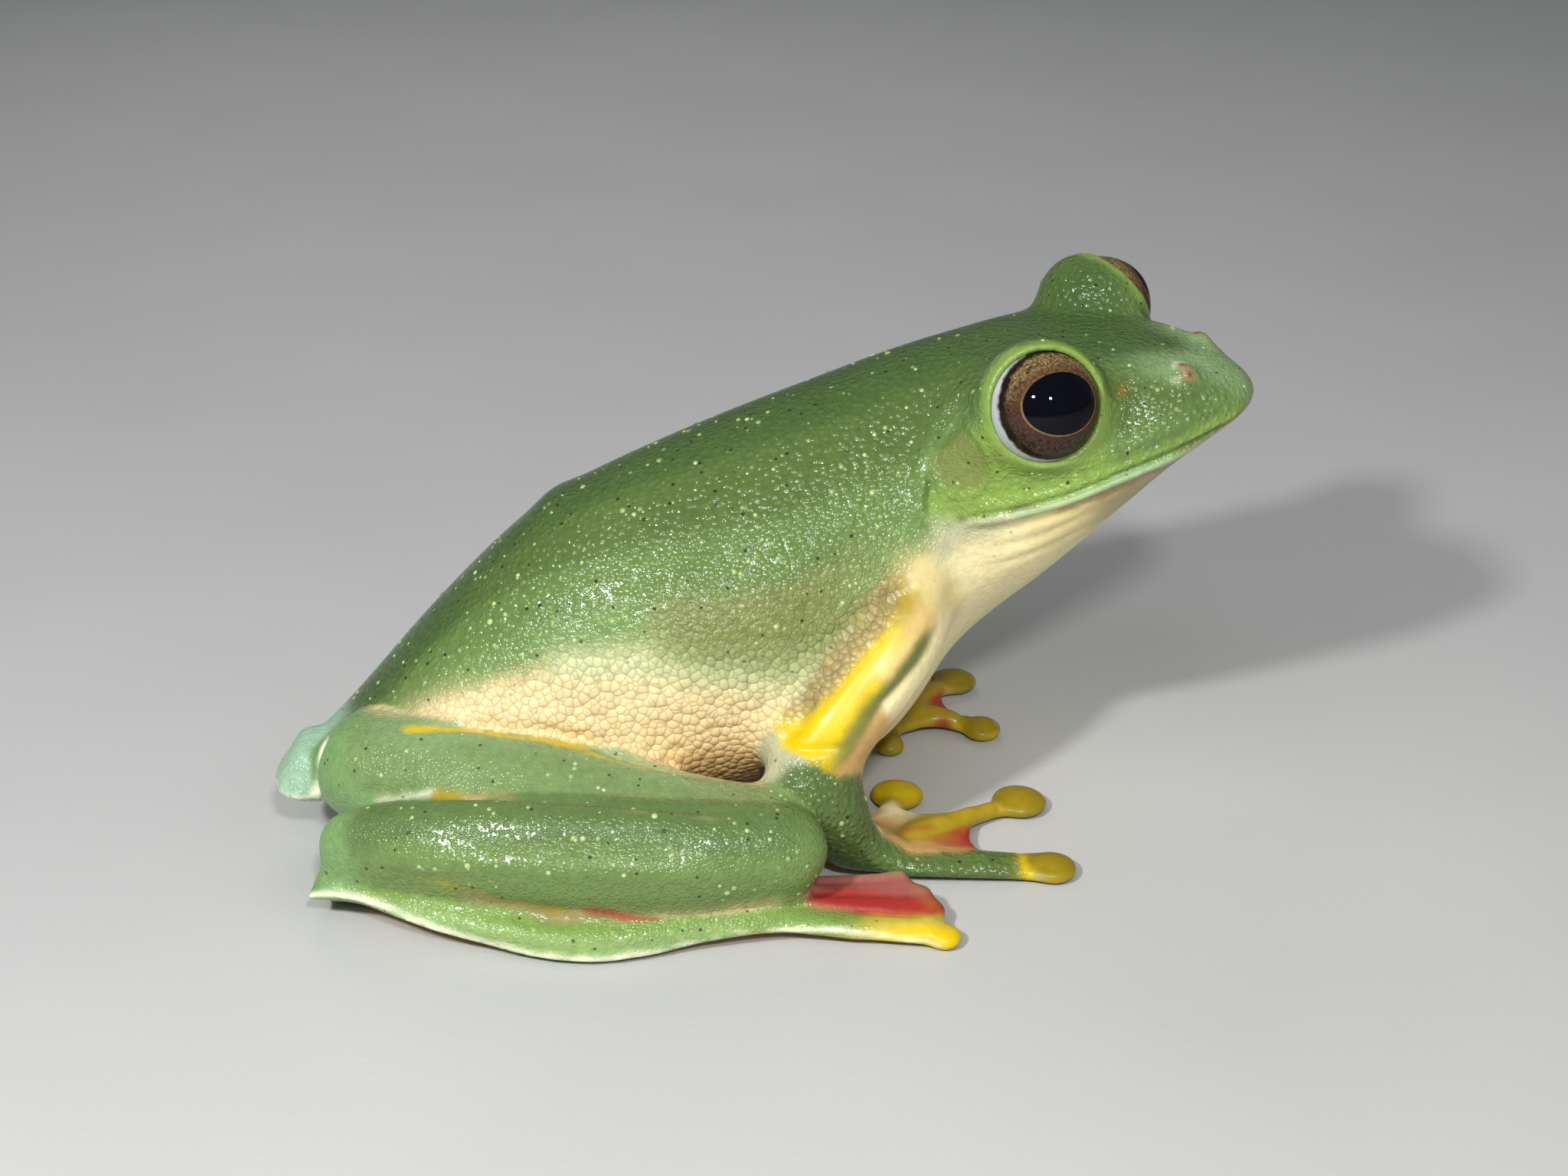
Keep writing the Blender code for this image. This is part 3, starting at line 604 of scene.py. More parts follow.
# The skin's colours: each stroke follows a band of one colour, and a point takes the colours of the
# strokes nearest to it on its own part. Each row of paints has how granular its skin is (as on the
# back), how cobbled (as on the belly), and its colours.
PAINTS = [
    # The greens are lighter and bluer than the skin's own colour: part of each is a painted sheen, in place
    # of the wet skin's broad reflections.
    (1, 0, {"deep": (70, 93, 48), "green": (84, 105, 54), "side": (98, 122, 66)}),
    (0.9, 0, {"leaf": (108, 135, 76)}),
    (0.8, 0, {"lime": (126, 153, 70)}),
    (0.6, 0, {"limb": (90, 113, 64), "limb_pale": (104, 128, 70), "haunch": (114, 138, 86)}),
    (0.6, 0, {"haunch_pale": (122, 148, 100), "frill": (118, 146, 74), "sole": (136, 164, 98)}),
    (0.5, 0, {"heel": (116, 150, 92)}),
    # The pale bluish green here is a painted sheen, for the fold over the vent.
    (0.4, 0, {"mint": (146, 178, 150), "drum": (114, 122, 64)}),
    (0.3, 0.2, {"elbow": (172, 174, 140)}),
    # shade is a painted shade: the dark laid along the drum's fold, a fold of the shin, and before the eye.
    (0.3, 0, {"shade": (54, 76, 26)}),
    (0.1, 0, {"olive": (112, 116, 54), "umber": (142, 122, 80)}),
    (0.8, 0.4, {"flank": (120, 128, 72)}),
    (0.2, 1, {"cells": (132, 144, 86)}),
    (0, 1, {"pale": (196, 200, 150), "cream": (230, 204, 152), "peach": (226, 200, 146)}),
    (0, 1, {"tan": (206, 172, 116), "blush": (154, 138, 88)}),
    # brown is a painted shade: under the lower lip and along the belly's lowest part.
    (0, 0.8, {"brown": (150, 112, 72)}),
    (0, 0.15, {"chest": (240, 226, 172)}),
    (0, 0.1, {"throat": (166, 152, 110)}),
    (0, 0, {"straw": (212, 196, 138), "butter": (214, 184, 116), "apricot": (196, 156, 96)}),
    (0, 0, {"yellow": (212, 182, 6), "lemon": (196, 176, 64), "gold": (160, 136, 26)}),
    (0, 0, {"disc": (140, 120, 16), "lid": (124, 150, 70), "white": (230, 232, 200)}),
    (0, 0, {"lip": (148, 176, 128), "slit": (70, 52, 30), "orange": (150, 100, 36)}),
    (0, 0, {"red": (156, 42, 40), "wine": (96, 22, 26), "pink": (148, 82, 76), "beige": (150, 116, 92)}),
]
STROKES = {
    "torso": [
        ("deep", [(-30, -9, 13), (-24, -7, 19), (-15, -5, 26.5), (-4, -2, 31), (6, 1, 34.3), (14, 3, 37)]),
        ("side", [(-29, -13, 14), (-24, -12.8, 17.5), (-15, -13, 22), (-6, -13, 25), (3, -12.5, 26),
            (14, -9, 32)]),
        ("green", [(-22, -8, 21.5), (-8, -9, 27.3), (4, -8, 30.5), (12, -6, 34)]),
        ("leaf", [(-28, -15, 13.8), (-22, -14, 16.8), (-16, -14.3, 19.2), (-10, -14.5, 20.3)]),
        ("flank", [(-6, -14.6, 19.8), (-1, -14.5, 19.8), (4, -13.8, 21), (8, -12.4, 23.4)]),
        ("cells", [(-6, -15.1, 18.2), (1, -14.9, 17.4), (5, -14.2, 18.4), (8.4, -13, 21.2)]),
        ("pale", [(-14, -15.1, 17.4), (-6, -15.5, 17), (0, -15.2, 15.9), (5, -15, 16)]),
        ("cream", [(-27, -15.4, 12.4), (-20, -15.4, 14), (-12, -15.8, 15.6), (-4, -16, 15),
            (2, -15.8, 13.8)]),
        ("peach", [(-22, -15.5, 10), (-12, -15.8, 12), (-4, -16, 12), (2, -16, 11)]),
        ("tan", [(-14, -14, 8), (-6, -15, 8.5), (0, -15, 8)]),
        # Painted shade along the belly's lowest part, just above the floor.
        ("brown", [(-8, -11, 3.4), (0, -10, 3.6)]),
        ("blush", [(7, -13.4, 18.2), (9.2, -12.2, 20.4)]),
        ("leaf", [(12.6, -9.2, 25.8), (11.6, -10, 24.4), (9.6, -10.9, 23.4), (7.8, -11.6, 22.5)]),
        ("peach", [(-26, -9, 2.8), (-10, -5, 1.6), (4, 0, 3)]),
        ("chest", [(13.5, -10.5, 21), (15, -8.5, 22), (15.5, -5, 16), (12, 2, 9)]),
        # On the fold over the vent, a pale bluish green that is a painted sheen.
        ("mint", [(-37, -11, 7.5), (-35, -9, 8.5)]),
        ("mint", [(-37, -13, 6.6), (-35, -13.6, 7)]),
    ],
    "head": [
        ("deep", [(-7, -3, 37.5), (-3, 0, 38.2), (3, 0, 38.5), (7, 0, 38.4)]),
        ("green", [(-9, -11, 34), (-8, -7, 37)]),
        # A paler green on the snout's top, a painted sheen.
        ("haunch_pale", [(8.4, -2.6, 37.9), (10, -1.6, 37.8), (12, 0, 37)]),
        ("leaf", [(-8.3, -12.3, 30), (-7, -11, 35)]),
        ("lime", [(-7.8, -12.4, 27.5), (-3, -12.2, 28.4), (2, -11.4, 30.4), (4, -10, 32)]),
        ("lime", [(-2.6, -12, 31), (-1, -11.6, 32)]),
        ("side", [(6, -8.4, 33), (9, -6.6, 33.6), (12, -3.6, 34.6)]),
        ("green", [(7, -6.5, 35.3), (10, -4, 35.6)]),
    ],
    "lower_jaw": [
        ("chest", [(-4, -11, 24), (-1, -10.8, 25)]),
        ("straw", [(1, -10.7, 25.8), (3, -10.2, 26.8)]),
        # Darker under the jaw's front, a painted shade.
        ("throat", [(6, -9, 28.5), (10, -5.5, 31)]),
        ("chest", [(-4, -6, 17), (4, 0, 23), (10, 0, 30.5)]),
        ("elbow", [(-6, -12, 25.8), (-3, -11.8, 26.6)]),
    ],
    "upper_arm": [
        ("blush", [(10.1, -12.4, 21.8), (8.7, -13, 20), (6.6, -14.4, 17.8), (4, -15, 15.2)]),
        ("gold", [(11.6, -12.2, 22.1), (10.9, -13.2, 20.9)]),
        ("yellow", [(10.3, -14.3, 19.5), (8.3, -15.6, 17.4), (6.6, -16.7, 15.5), (5, -17.4, 14),
            (3.8, -17.7, 12.9)]),
        ("yellow", [(8.7, -16.3, 16.2), (7.2, -17.1, 14.6), (6, -17.6, 13.2)]),
        ("butter", [(12.5, -12.9, 20.2), (11.1, -14.6, 18.2), (10, -15.5, 17)]),
        ("straw", [(12.5, -11.5, 22.6), (14, -10.8, 22), (14.6, -10.9, 20.5)]),
        ("olive", [(12.9, -13.4, 18.5), (11, -15, 17.1), (9.4, -16.3, 15.6), (7.7, -17.4, 14),
            (6.9, -18, 13)]),
        ("chest", [(14.4, -11.6, 18.4), (12.3, -14, 15.6), (10.4, -15.9, 14.4)]),
        ("apricot", [(9.3, -16.6, 13), (8.3, -17, 11)]),
        ("apricot", [(12, -10, 14), (9, -13, 12)]),
    ],
    "forearm": [
        ("green", [(3.5, -18.6, 10), (5, -19.6, 7), (7, -19, 4.5)]),
        ("green", [(6.4, -19, 10.5), (8, -18.4, 6)]),
        ("elbow", [(0.4, -16.5, 9.5), (1.5, -17.3, 11.3), (3, -17.8, 11.8)]),
        ("apricot", [(8.6, -16.5, 11.6), (8.8, -16.2, 10.6)]),
        ("chest", [(6, -13, 8), (8, -13, 4)]),
    ],
    "hand": [
        ("green", [(9, -18, 2.6), (14, -17.3, 1.8), (19, -17, 1.6)]),
        ("yellow", [(21.4, -16.6, 1.5), (24, -16.6, 1.3)]),
        ("gold", [(11, -13.6, 2), (15.5, -10.2, 1.7), (18.5, -8, 1.6)]),
        ("apricot", [(9.5, -14.5, 2.6), (10.3, -11, 1.8)]),
        ("chest", [(10.2, -10.6, 1.9), (10.7, -8.6, 1.7)]),
        ("gold", [(11, -7, 1.6), (11.3, -5.1, 1.4)]),
        ("gold", [(8, -12, 1.6), (6.4, -9.6, 1.4)]),
        ("red", [(14.8, -14.4, 1.6), (17.4, -12.6, 1.4)]),
        ("apricot", [(12, -15.6, 1.8), (15, -15.2, 1.6)]),
    ],
    "thigh": [
        ("heel", [(-32.6, -16, 9), (-31.4, -18, 8)]),
        ("haunch", [(-30, -17.5, 10.3), (-22, -18.7, 11.8), (-13.4, -19.8, 11.5), (-5, -21.6, 10.4),
            (2, -23, 9)]),
        ("haunch_pale", [(-26, -16.9, 12.1), (-17.7, -17.2, 12.2), (-12.2, -17.6, 11.5), (-8, -19, 11),
            (-3, -20.6, 10.3)]),
        ("cream", [(-24, -12.5, 11), (-12, -15.5, 9), (-3, -18.5, 8)]),
    ],
    "shin": [
        ("heel", [(-31.8, -22.6, 8), (-32.2, -24.4, 6)]),
        ("limb", [(-29, -24, 9), (-20, -25, 10.2), (-10, -25.8, 10.4), (1, -26, 9)]),
        ("limb_pale", [(-27, -25.8, 7), (-18, -27.3, 7.2), (-9, -27.7, 7), (1, -27, 6), (5, -25, 6)]),
        ("cream", [(-24, -22, 3), (-10, -23.5, 3), (0, -23, 3.5)]),
    ],
    "foot": [
        ("heel", [(-32.6, -23.4, 4), (-30.6, -24, 4.6)]),
        ("frill", [(-28, -25, 4), (-22, -26.4, 3.6), (-15, -28, 2.6), (-8, -27.8, 2.4), (-2, -26.6, 2.6),
            (6, -25.6, 2.1)]),
        ("sole", [(-26, -26.4, 2.9), (-18, -28, 1.8), (-11, -28.8, 1.3), (-3, -27, 1.6)]),
        ("lemon", [(9.6, -26, 1.8), (13.6, -25.4, 1.7)]),
        ("yellow", [(10, -27, 1.3), (14, -27, 1.2)]),
        ("red", [(5.4, -23.3, 2.6), (9.2, -23.5, 2.3), (13, -24, 1.9)]),
        ("pink", [(4, -21.9, 3), (9, -21.7, 2.7), (12, -21.9, 2.4)]),
        ("beige", [(5, -20.6, 3.2), (11, -20.2, 2.8)]),
        ("apricot", [(-26, -24, 0.3), (-8, -26, 0.3), (6, -25, 0.3)]),
    ],
}
# How far the colours run into each other on each part.
SOFT = {
    "torso": 0.6, "head": 0.6, "lower_jaw": 0.8, "upper_arm": 0.2, "forearm": 0.35, "hand": 0.25,
    "foot": 0.22, "thigh": 0.4, "shin": 0.4,
}
EDGE_WAVER = 0.3
WAVE_SIZE = 1.6
# Narrow streaks of colour in the folds. Each row: part, half width, soft edge, colour, strength, places.
STREAKS = [
    ("thigh", 0.42, 0.2, "yellow", 0.95, [(-26.5, -15.8, 12.5), (-22, -16, 12.6), (-17.7, -16.7, 12.4),
            (-12.4, -16.8, 11.6)]),
    ("thigh", 0.24, 0.15, "yellow", 0.9, [(-12.6, -17.7, 11.6), (-10.7, -18.2, 11.4), (-8.1, -18.9, 11)]),
    # White at the rear end of the crease between thigh and shin: partly the fold's own pale skin, partly a
    # painted sheen.
    ("thigh", 0.45, 0.4, "white", 0.6, [(-28.6, -19.2, 8.6), (-26, -20.2, 9.2), (-24.2, -20.8, 9.7)]),
    ("thigh", 0.4, 0.3, "gold", 0.9, [(-23.6, -20.9, 9.8), (-22, -21.4, 10)]),
    ("thigh", 0.3, 0.3, "tan", 0.7, [(-21.6, -21.5, 10), (-17, -22.6, 10.5)]),
    ("shin", 0.14, 0.15, "throat", 0.8, [(-16.8, -23.8, 10.9), (-12.6, -24.5, 10.9), (-4.8, -24.9, 10.4),
            (-1, -24.8, 10)]),
    # A dark line along the fold where shin meets tarsus, a painted shade.
    ("shin", 0.12, 0.12, "shade", 0.7, [(-27.5, -25.4, 6.1), (-23.7, -26.5, 6.3), (-19.4, -27.4, 5.5)]),
    ("foot", 0.1, 0.12, "wine", 0.8, [(5.5, -22.5, 2.8), (9, -22.6, 2.5), (12.2, -22.9, 2.1)]),
    # A dark patch before the eye, under the upper lid, a painted shadow.
    ("head", 0.8, 0.9, "shade", 0.6, [(5.3, -6.6, 36.6), (5.9, -6.4, 35.4), (5.8, -7.2, 34.2)]),
    ("head", 0.34, 0.3, "orange", 0.9, [(5.3, -6.5, 36.4)]),
    ("head", 0.3, 0.3, "white", 0.8, [(8.5, -3.5, 37.4), (8.8, -2.6, 37.7)]),
    ("head", 0.2, 0.3, "white", 0.6, [(8.7, -4.5, 36.9), (9.2, -4.4, 36.9)]),
    ("foot", 0.5, 0.6, "umber", 0.8, [(-21, -26.6, 4.6), (-17, -27.1, 4), (-14, -27.2, 3.2),
            (-12, -27.1, 2.9)]),
    ("shin", 0.2, 0.25, "gold", 0.9, [(-23.5, -26.6, 5.8), (-20, -27.2, 4.9), (-16.5, -27.4, 4.1),
            (-14, -27.3, 3.7)]),
    ("shin", 0.35, 0.3, "red", 0.9, [(-12.4, -27.6, 3.7), (-10, -27.5, 3.4), (-7, -27, 2.9)]),
    ("hand", 0.3, 0.3, "throat", 0.85, [(9.6, -19, 0.8), (14, -19, 0.7), (18, -18.6, 0.7),
            (21.6, -18.2, 0.7)]),
    ("hand", 0.22, 0.3, "red", 0.7, [(9.8, -15.2, 2.4), (11.4, -13.2, 2), (13.4, -11.9, 1.8)]),
]
LEFT_SHOULDER = [(4, 12.2, 27), (12.2, 14, 28), (19.4, 14.6, 28.4)]
VENT_EDGE = [
    (-37.6, -12, 5.4), (-36.2, -13.4, 5.1), (-34.4, -14, 5.1), (-33.4, -13.8, 7.4), (-33.2, -13.4, 10.4),
]
# White along the fringe: first and last point of each stretch, and its half width.
FRINGE_WHITE = [(0, 33, 0.26), (12, 29, 0.38), (32, None, 0.12)]
WHITE_EDGE = 0.15
# Colours on the head's forms. Each row: form, first point, half width, soft edge, colour, strength.
HEAD_TINTS = [
    ("lid", 0, 0.75, 0.6, "lid", 0.9),
    ("drum", 0, 2.3, 1.2, "drum", 0.8),
    ("drum_shadow", 0, 0.14, 0.14, "shade", 0.9),
    ("upper_lip", 0, 0.45, 0.3, "lime", 0.8),
    ("lower_lip", 6, 0.4, 0.25, "lip", 0.9),
    # Brown under the lower lip is a painted shadow.
    ("under_lip", 8, 0.45, 0.4, "brown", 0.6),
    # Dark along the mouth's slit, a painted shade in its groove.
    ("slit", 0, 0.14, 0.1, "slit", 0.85),
]


def linear(shade):
    """A colour as the eye sees it, 0 to 255, as the light it gives back."""
    share = np.array(shade) / 255
    return np.where(share < 0.04045, share / 12.92, ((share + 0.055) / 1.055) ** 2.4)


PIGMENTS = {}
for grain, cobble, shades in PAINTS:
    for name, shade in shades.items():
        PIGMENTS[name] = np.array([*linear(shade), grain, cobble])


def tint(places, line, width, edge, name, strength=1.0):
    """Lays a colour on the skin along a line, to its width and fading out over the edge."""
    mask = np.clip((width - near(places, line, width + 1)[0]) / edge + 0.5, 0, 1)
    mixed = (mask * strength)[:, None]
    coat[:] = coat * (1 - mixed) + PIGMENTS[name] * mixed


def blur(share, rounds):
    """Lets the colours run between neighbouring points, by a share at each point."""
    starts, ends = clay.links.T
    count = np.bincount(clay.links.ravel(), minlength=len(coat))[:, None]
    for _ in range(rounds):
        sums = [np.bincount(starts, coat[ends, k], len(coat)) for k in range(5)]
        sums = np.stack(sums, axis=1)
        sums += np.stack([np.bincount(ends, coat[starts, k], len(coat)) for k in range(5)], axis=1)
        coat[:] += np.reshape(share, (-1, 1)) * (sums / count - coat)


# The edges between colours waver: distances are taken from points that are moved a little.
wavy = clay.points + EDGE_WAVER * np.array([noise.noise_vector(Vector(p) / WAVE_SIZE) for p in clay.points])
owner = owners(clay.points)
coat = np.zeros((len(wavy), 5))
for number, (name, part) in enumerate(zip(flesh, part_of)):
    mine = owner == number
    gaps = []
    values = []
    for paint, places in STROKES[part]:
        for end, line in on_both(part, places).items():
            if name.endswith(("_left", "_right")) and not name.endswith(end):
                continue
            gaps.append(near(wavy[mine], line)[0])
            values.append(PIGMENTS[paint])
    gaps = np.stack(gaps, axis=1)
    weights = np.exp((gaps.min(axis=1, keepdims=True) - gaps) / SOFT[part])
    coat[mine] = weights @ np.array(values) / weights.sum(axis=1, keepdims=True)
# The trunk's colours run into those of the head and arms.
run = np.zeros(len(coat))
for part, other, width in seams:
    if part == "torso":
        run = np.maximum(run, closeness(meeting(part, other), width))
blur(run * 0.8, 7)
tint(wavy, LEFT_SHOULDER, 2.6, 2.2, "side")
# The left hand's digits are gold and every disc is darker, but for one disc on the right hand that is
# painted brighter, a painted light where the forearm shades it.
for start, tip, _ in DIGITS[4:]:
    tint(wavy, [start, tip], 0.9, 0.5, "gold", 0.9)
for _, tip, disc in DIGITS:
    tint(wavy, [tip], disc * 1.05, 0.5, "disc")
# The brighter yellow on this disc is a painted light.
tint(wavy, [DIGITS[1][1]], 2.2, 0.8, "yellow", 0.7)
for _, tip, disc in TOES[:3]:
    for line in on_both("foot", [tip]).values():
        tint(wavy, line, disc * 0.6, 0.4, "gold", 0.25)
for part, width, edge, name, strength, places in STREAKS:
    for line in on_both(part, places).values():
        tint(wavy, line, width, edge, name, strength)
for line in on_both("foot", FRINGE).values():
    for first, last, width in FRINGE_WHITE:
        tint(wavy, line[first:last], width, WHITE_EDGE, "white")
for line in on_both("torso", VENT_EDGE).values():
    tint(wavy, line, 0.42, WHITE_EDGE, "white")
for mark in marks.values():
    for form_name, first, width, edge, name, strength in HEAD_TINTS:
        tint(wavy, mark[form_name][first:], width, edge, name, strength)
blur(0.5, 2)
# Each nostril's slot: beige round it, and a dark slit in it that is a painted shade in the hole.
for mark in marks.values():
    slot = clay.snapped(mark["nostril"])
    tint(clay.points, slot, 0.5, 0.3, "beige", 0.7)
    tint(clay.points, slot, 0.16, 0.16, "slit", 0.95)


def store(mesh, name, kind, field, values):
    """Keeps values at the mesh's points, for its material to read."""
    values = np.array(values, np.float32).ravel()
    mesh.attributes.new(name, kind, "POINT").data.foreach_set(field, values)


colours = np.ones((len(coat), 4))
colours[:, :3] = coat[:, :3]
store(skin.data, "paint", "FLOAT_COLOR", "color", colours)
store(skin.data, "grain", "FLOAT", "value", coat[:, 3])
store(skin.data, "cobble", "FLOAT", "value", coat[:, 4])


class Wire:
    """An output of a shader node, that arithmetic can be written with."""

    def __init__(self, finish, socket):
        self.finish = finish
        self.socket = socket

    def maths(self, operation, *values):
        return self.finish.node("Math", {"operation": operation}, dict(enumerate(values)))

    def __add__(self, other):
        return self.maths("ADD", self, other)

    def __radd__(self, other):
        return self.maths("ADD", other, self)

    def __sub__(self, other):
        return self.maths("SUBTRACT", self, other)

    def __rsub__(self, other):
        return self.maths("SUBTRACT", other, self)

    def __mul__(self, other):
        return self.maths("MULTIPLY", self, other)

    def __rmul__(self, other):
        return self.maths("MULTIPLY", other, self)

    def __truediv__(self, other):
        return self.maths("DIVIDE", self, other)

    def __pow__(self, other):
        return self.maths("POWER", self, other)

    def below(self, limit, edge):
        """1 below the limit and 0 above it, with a soft edge."""
        ranges = {"interpolation_type": "SMOOTHSTEP"}
        values = {0: self, 1: limit - edge / 2, 2: limit + edge / 2, 3: 1.0, 4: 0.0}
        return self.finish.node("MapRange", ranges, values)


class Finish:
    """A material on the way: its nodes are made by their type, settings and inputs."""

    def __init__(self, name):
        self.material = bpy.data.materials.new(name)
        self.material.use_nodes = True
        self.tree = self.material.node_tree
        self.surface = self.tree.nodes["Principled BSDF"]
        self.place = self.node("TexCoord", {}, {}, 3)

    def node(self, kind, settings, values, output=0):
        made = self.tree.nodes.new("ShaderNode" + kind)
        for name, value in settings.items():
            setattr(made, name, value)
        for name, value in values.items():
            self.feed(made.inputs[name], value)
        return Wire(self, made.outputs[output])

    def feed(self, socket, value):
        if isinstance(value, Wire):
            self.tree.links.new(value.socket, socket)
        else:
            socket.default_value = value

    def set(self, **values):
        for name, value in values.items():
            self.feed(self.surface.inputs[name.replace("_", " ")], value)

    def cells(self, size, output=0, **settings):
        """How far each point is from the middle of its cell, with cells of that size in millimetres."""
        values = {"Vector": self.place, "Scale": 1 / (size * MM)}
        return self.node("TexVoronoi", settings, values, output)

    def draws(self, size, channel=0):
        """A random number from 0 to 1 for each such cell."""
        return self.node("SeparateColor", {}, {0: self.cells(size, 1)}, channel)

    def noise(self, size, detail=2.0):
        """Noise whose lumps are about that size in millimetres, from 0 to 1."""
        values = {"Vector": self.place, "Scale": 1 / (size * MM), "Detail": detail}
        return self.node("TexNoise", {}, values)

    def attribute(self, name, output):
        return self.node("Attribute", {"attribute_name": name}, {}, output)

    def mix(self, share, start, end):
        """Two colours mixed by a share."""
        return self.node("Mix", {"data_type": "RGBA"}, {0: share, 6: start, 7: end}, 2)

    def scaled(self, colour, factor):
        return self.node("VectorMath", {"operation": "SCALE"}, {0: colour, "Scale": factor})

    def bump(self, height):
        """The surface's facing with this height on it, in millimetres."""
        return self.node("Bump", {}, {"Height": height, "Distance": MM, "Strength": 1.0})


# The skin's finish: colour lighter on fine grains and darker between them, a cobbled belly darker in its
# grooves, black and pale specks, a wet film.
GRAIN = 0.54
FINE_GRAIN = 0.27
GRAIN_DOME = (0.4, 0.56)
COBBLE = 0.62
BLACK_SPECK = 1.1
PALE_SPECK = 1.15
SPECK_BLACK = (0.012, 0.02, 0.008, 1)
SPECK_PALE = (*PIGMENTS["elbow"][:3].tolist(), 1)
hide = Finish("skin")
paint = hide.attribute("paint", 0)
grain = hide.attribute("grain", 2)
cobble = hide.attribute("cobble", 2)
clouds = hide.noise(7.0, 3.0)
flecks = hide.noise(0.7, 3.0)
pores = hide.noise(0.16)
grains = hide.cells(GRAIN)
fine_grains = hide.cells(FINE_GRAIN)
bed = hide.cells(COBBLE)
bed_edge = hide.cells(COBBLE, feature="DISTANCE_TO_EDGE")
tone = 1.0 + (clouds - 0.5) * 0.3 + (flecks - 0.5) * 0.35
# Lighter on each grain's top and darker between grains, and darker in the cobbles' grooves.
tone = tone + grain * (0.42 - grains) * 0.3 + cobble * (hide.draws(COBBLE) - 0.5) * 0.14
tone = tone - cobble * bed_edge.below(0.07, 0.14) * 0.24
colour = hide.scaled(paint, tone)
black = hide.cells(BLACK_SPECK).below(0.13, 0.06) * hide.draws(BLACK_SPECK).below(0.5, 0.02) * grain**0.3
colour = hide.mix(black * 0.9, colour, SPECK_BLACK)
pale = hide.cells(PALE_SPECK).below(0.14, 0.08) * hide.draws(PALE_SPECK, 1).below(0.14, 0.02) * grain
colour = hide.mix(pale * 0.5, colour, SPECK_PALE)
coarse = grain.maths("MAXIMUM", grain - 0.5, 0.0)
height = coarse * grains.below(*GRAIN_DOME) * 0.19
height = height + grain * (1.15 - grain) * fine_grains.below(*GRAIN_DOME) * 0.125
height = height + cobble * (bed * bed * -0.2 - bed_edge.below(0.08, 0.16) * 0.012)
height = height + (pores - 0.5) * 0.01 + (flecks - 0.5) * 0.02
smooth_part = 1.0 - ((1.0 - grain) * (1.0 - cobble)).below(0.8, 0.3)
hide.set(Base_Color=colour, Normal=hide.bump(height))
hide.set(Roughness=0.11 + 0.16 * flecks + cobble * 0.2 + smooth_part * 0.2)
hide.set(Coat_Weight=smooth_part * 0.08, Coat_Roughness=0.16, IOR=1.4)
skin.data.materials.clear()
skin.data.materials.append(hide.material)
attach(skin, "root")
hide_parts(*flesh)


# The eyes: a wet ball that bulges over the iris, a dark level pupil with a thin gold ring, an iris
# flecked with gold above and brown below, a dark rim, and bluish white that shows behind and below.
IRIS_AIM = (0.577, 0.698, 0.425)
IRIS = 4.05
PUPIL = (2.85, 2.3)
PUPIL_AHEAD = -0.1
CORNEA = 0.3
CORNEA_SPREAD = 0.62
IRIS_LOW = (0.06, 0.034, 0.026, 1)
IRIS_HIGH = (0.2, 0.135, 0.06, 1)
IRIS_GOLD = (0.36, 0.26, 0.09, 1)
IRIS_INNER = (0.06, 0.022, 0.014, 1)
IRIS_RIM = (0.012, 0.008, 0.006, 1)
PUPIL_RING = (0.4, 0.28, 0.12, 1)
PUPIL_BLACK = (0.002, 0.002, 0.004, 1)
EYE_WHITE = (0.43, 0.46, 0.47)


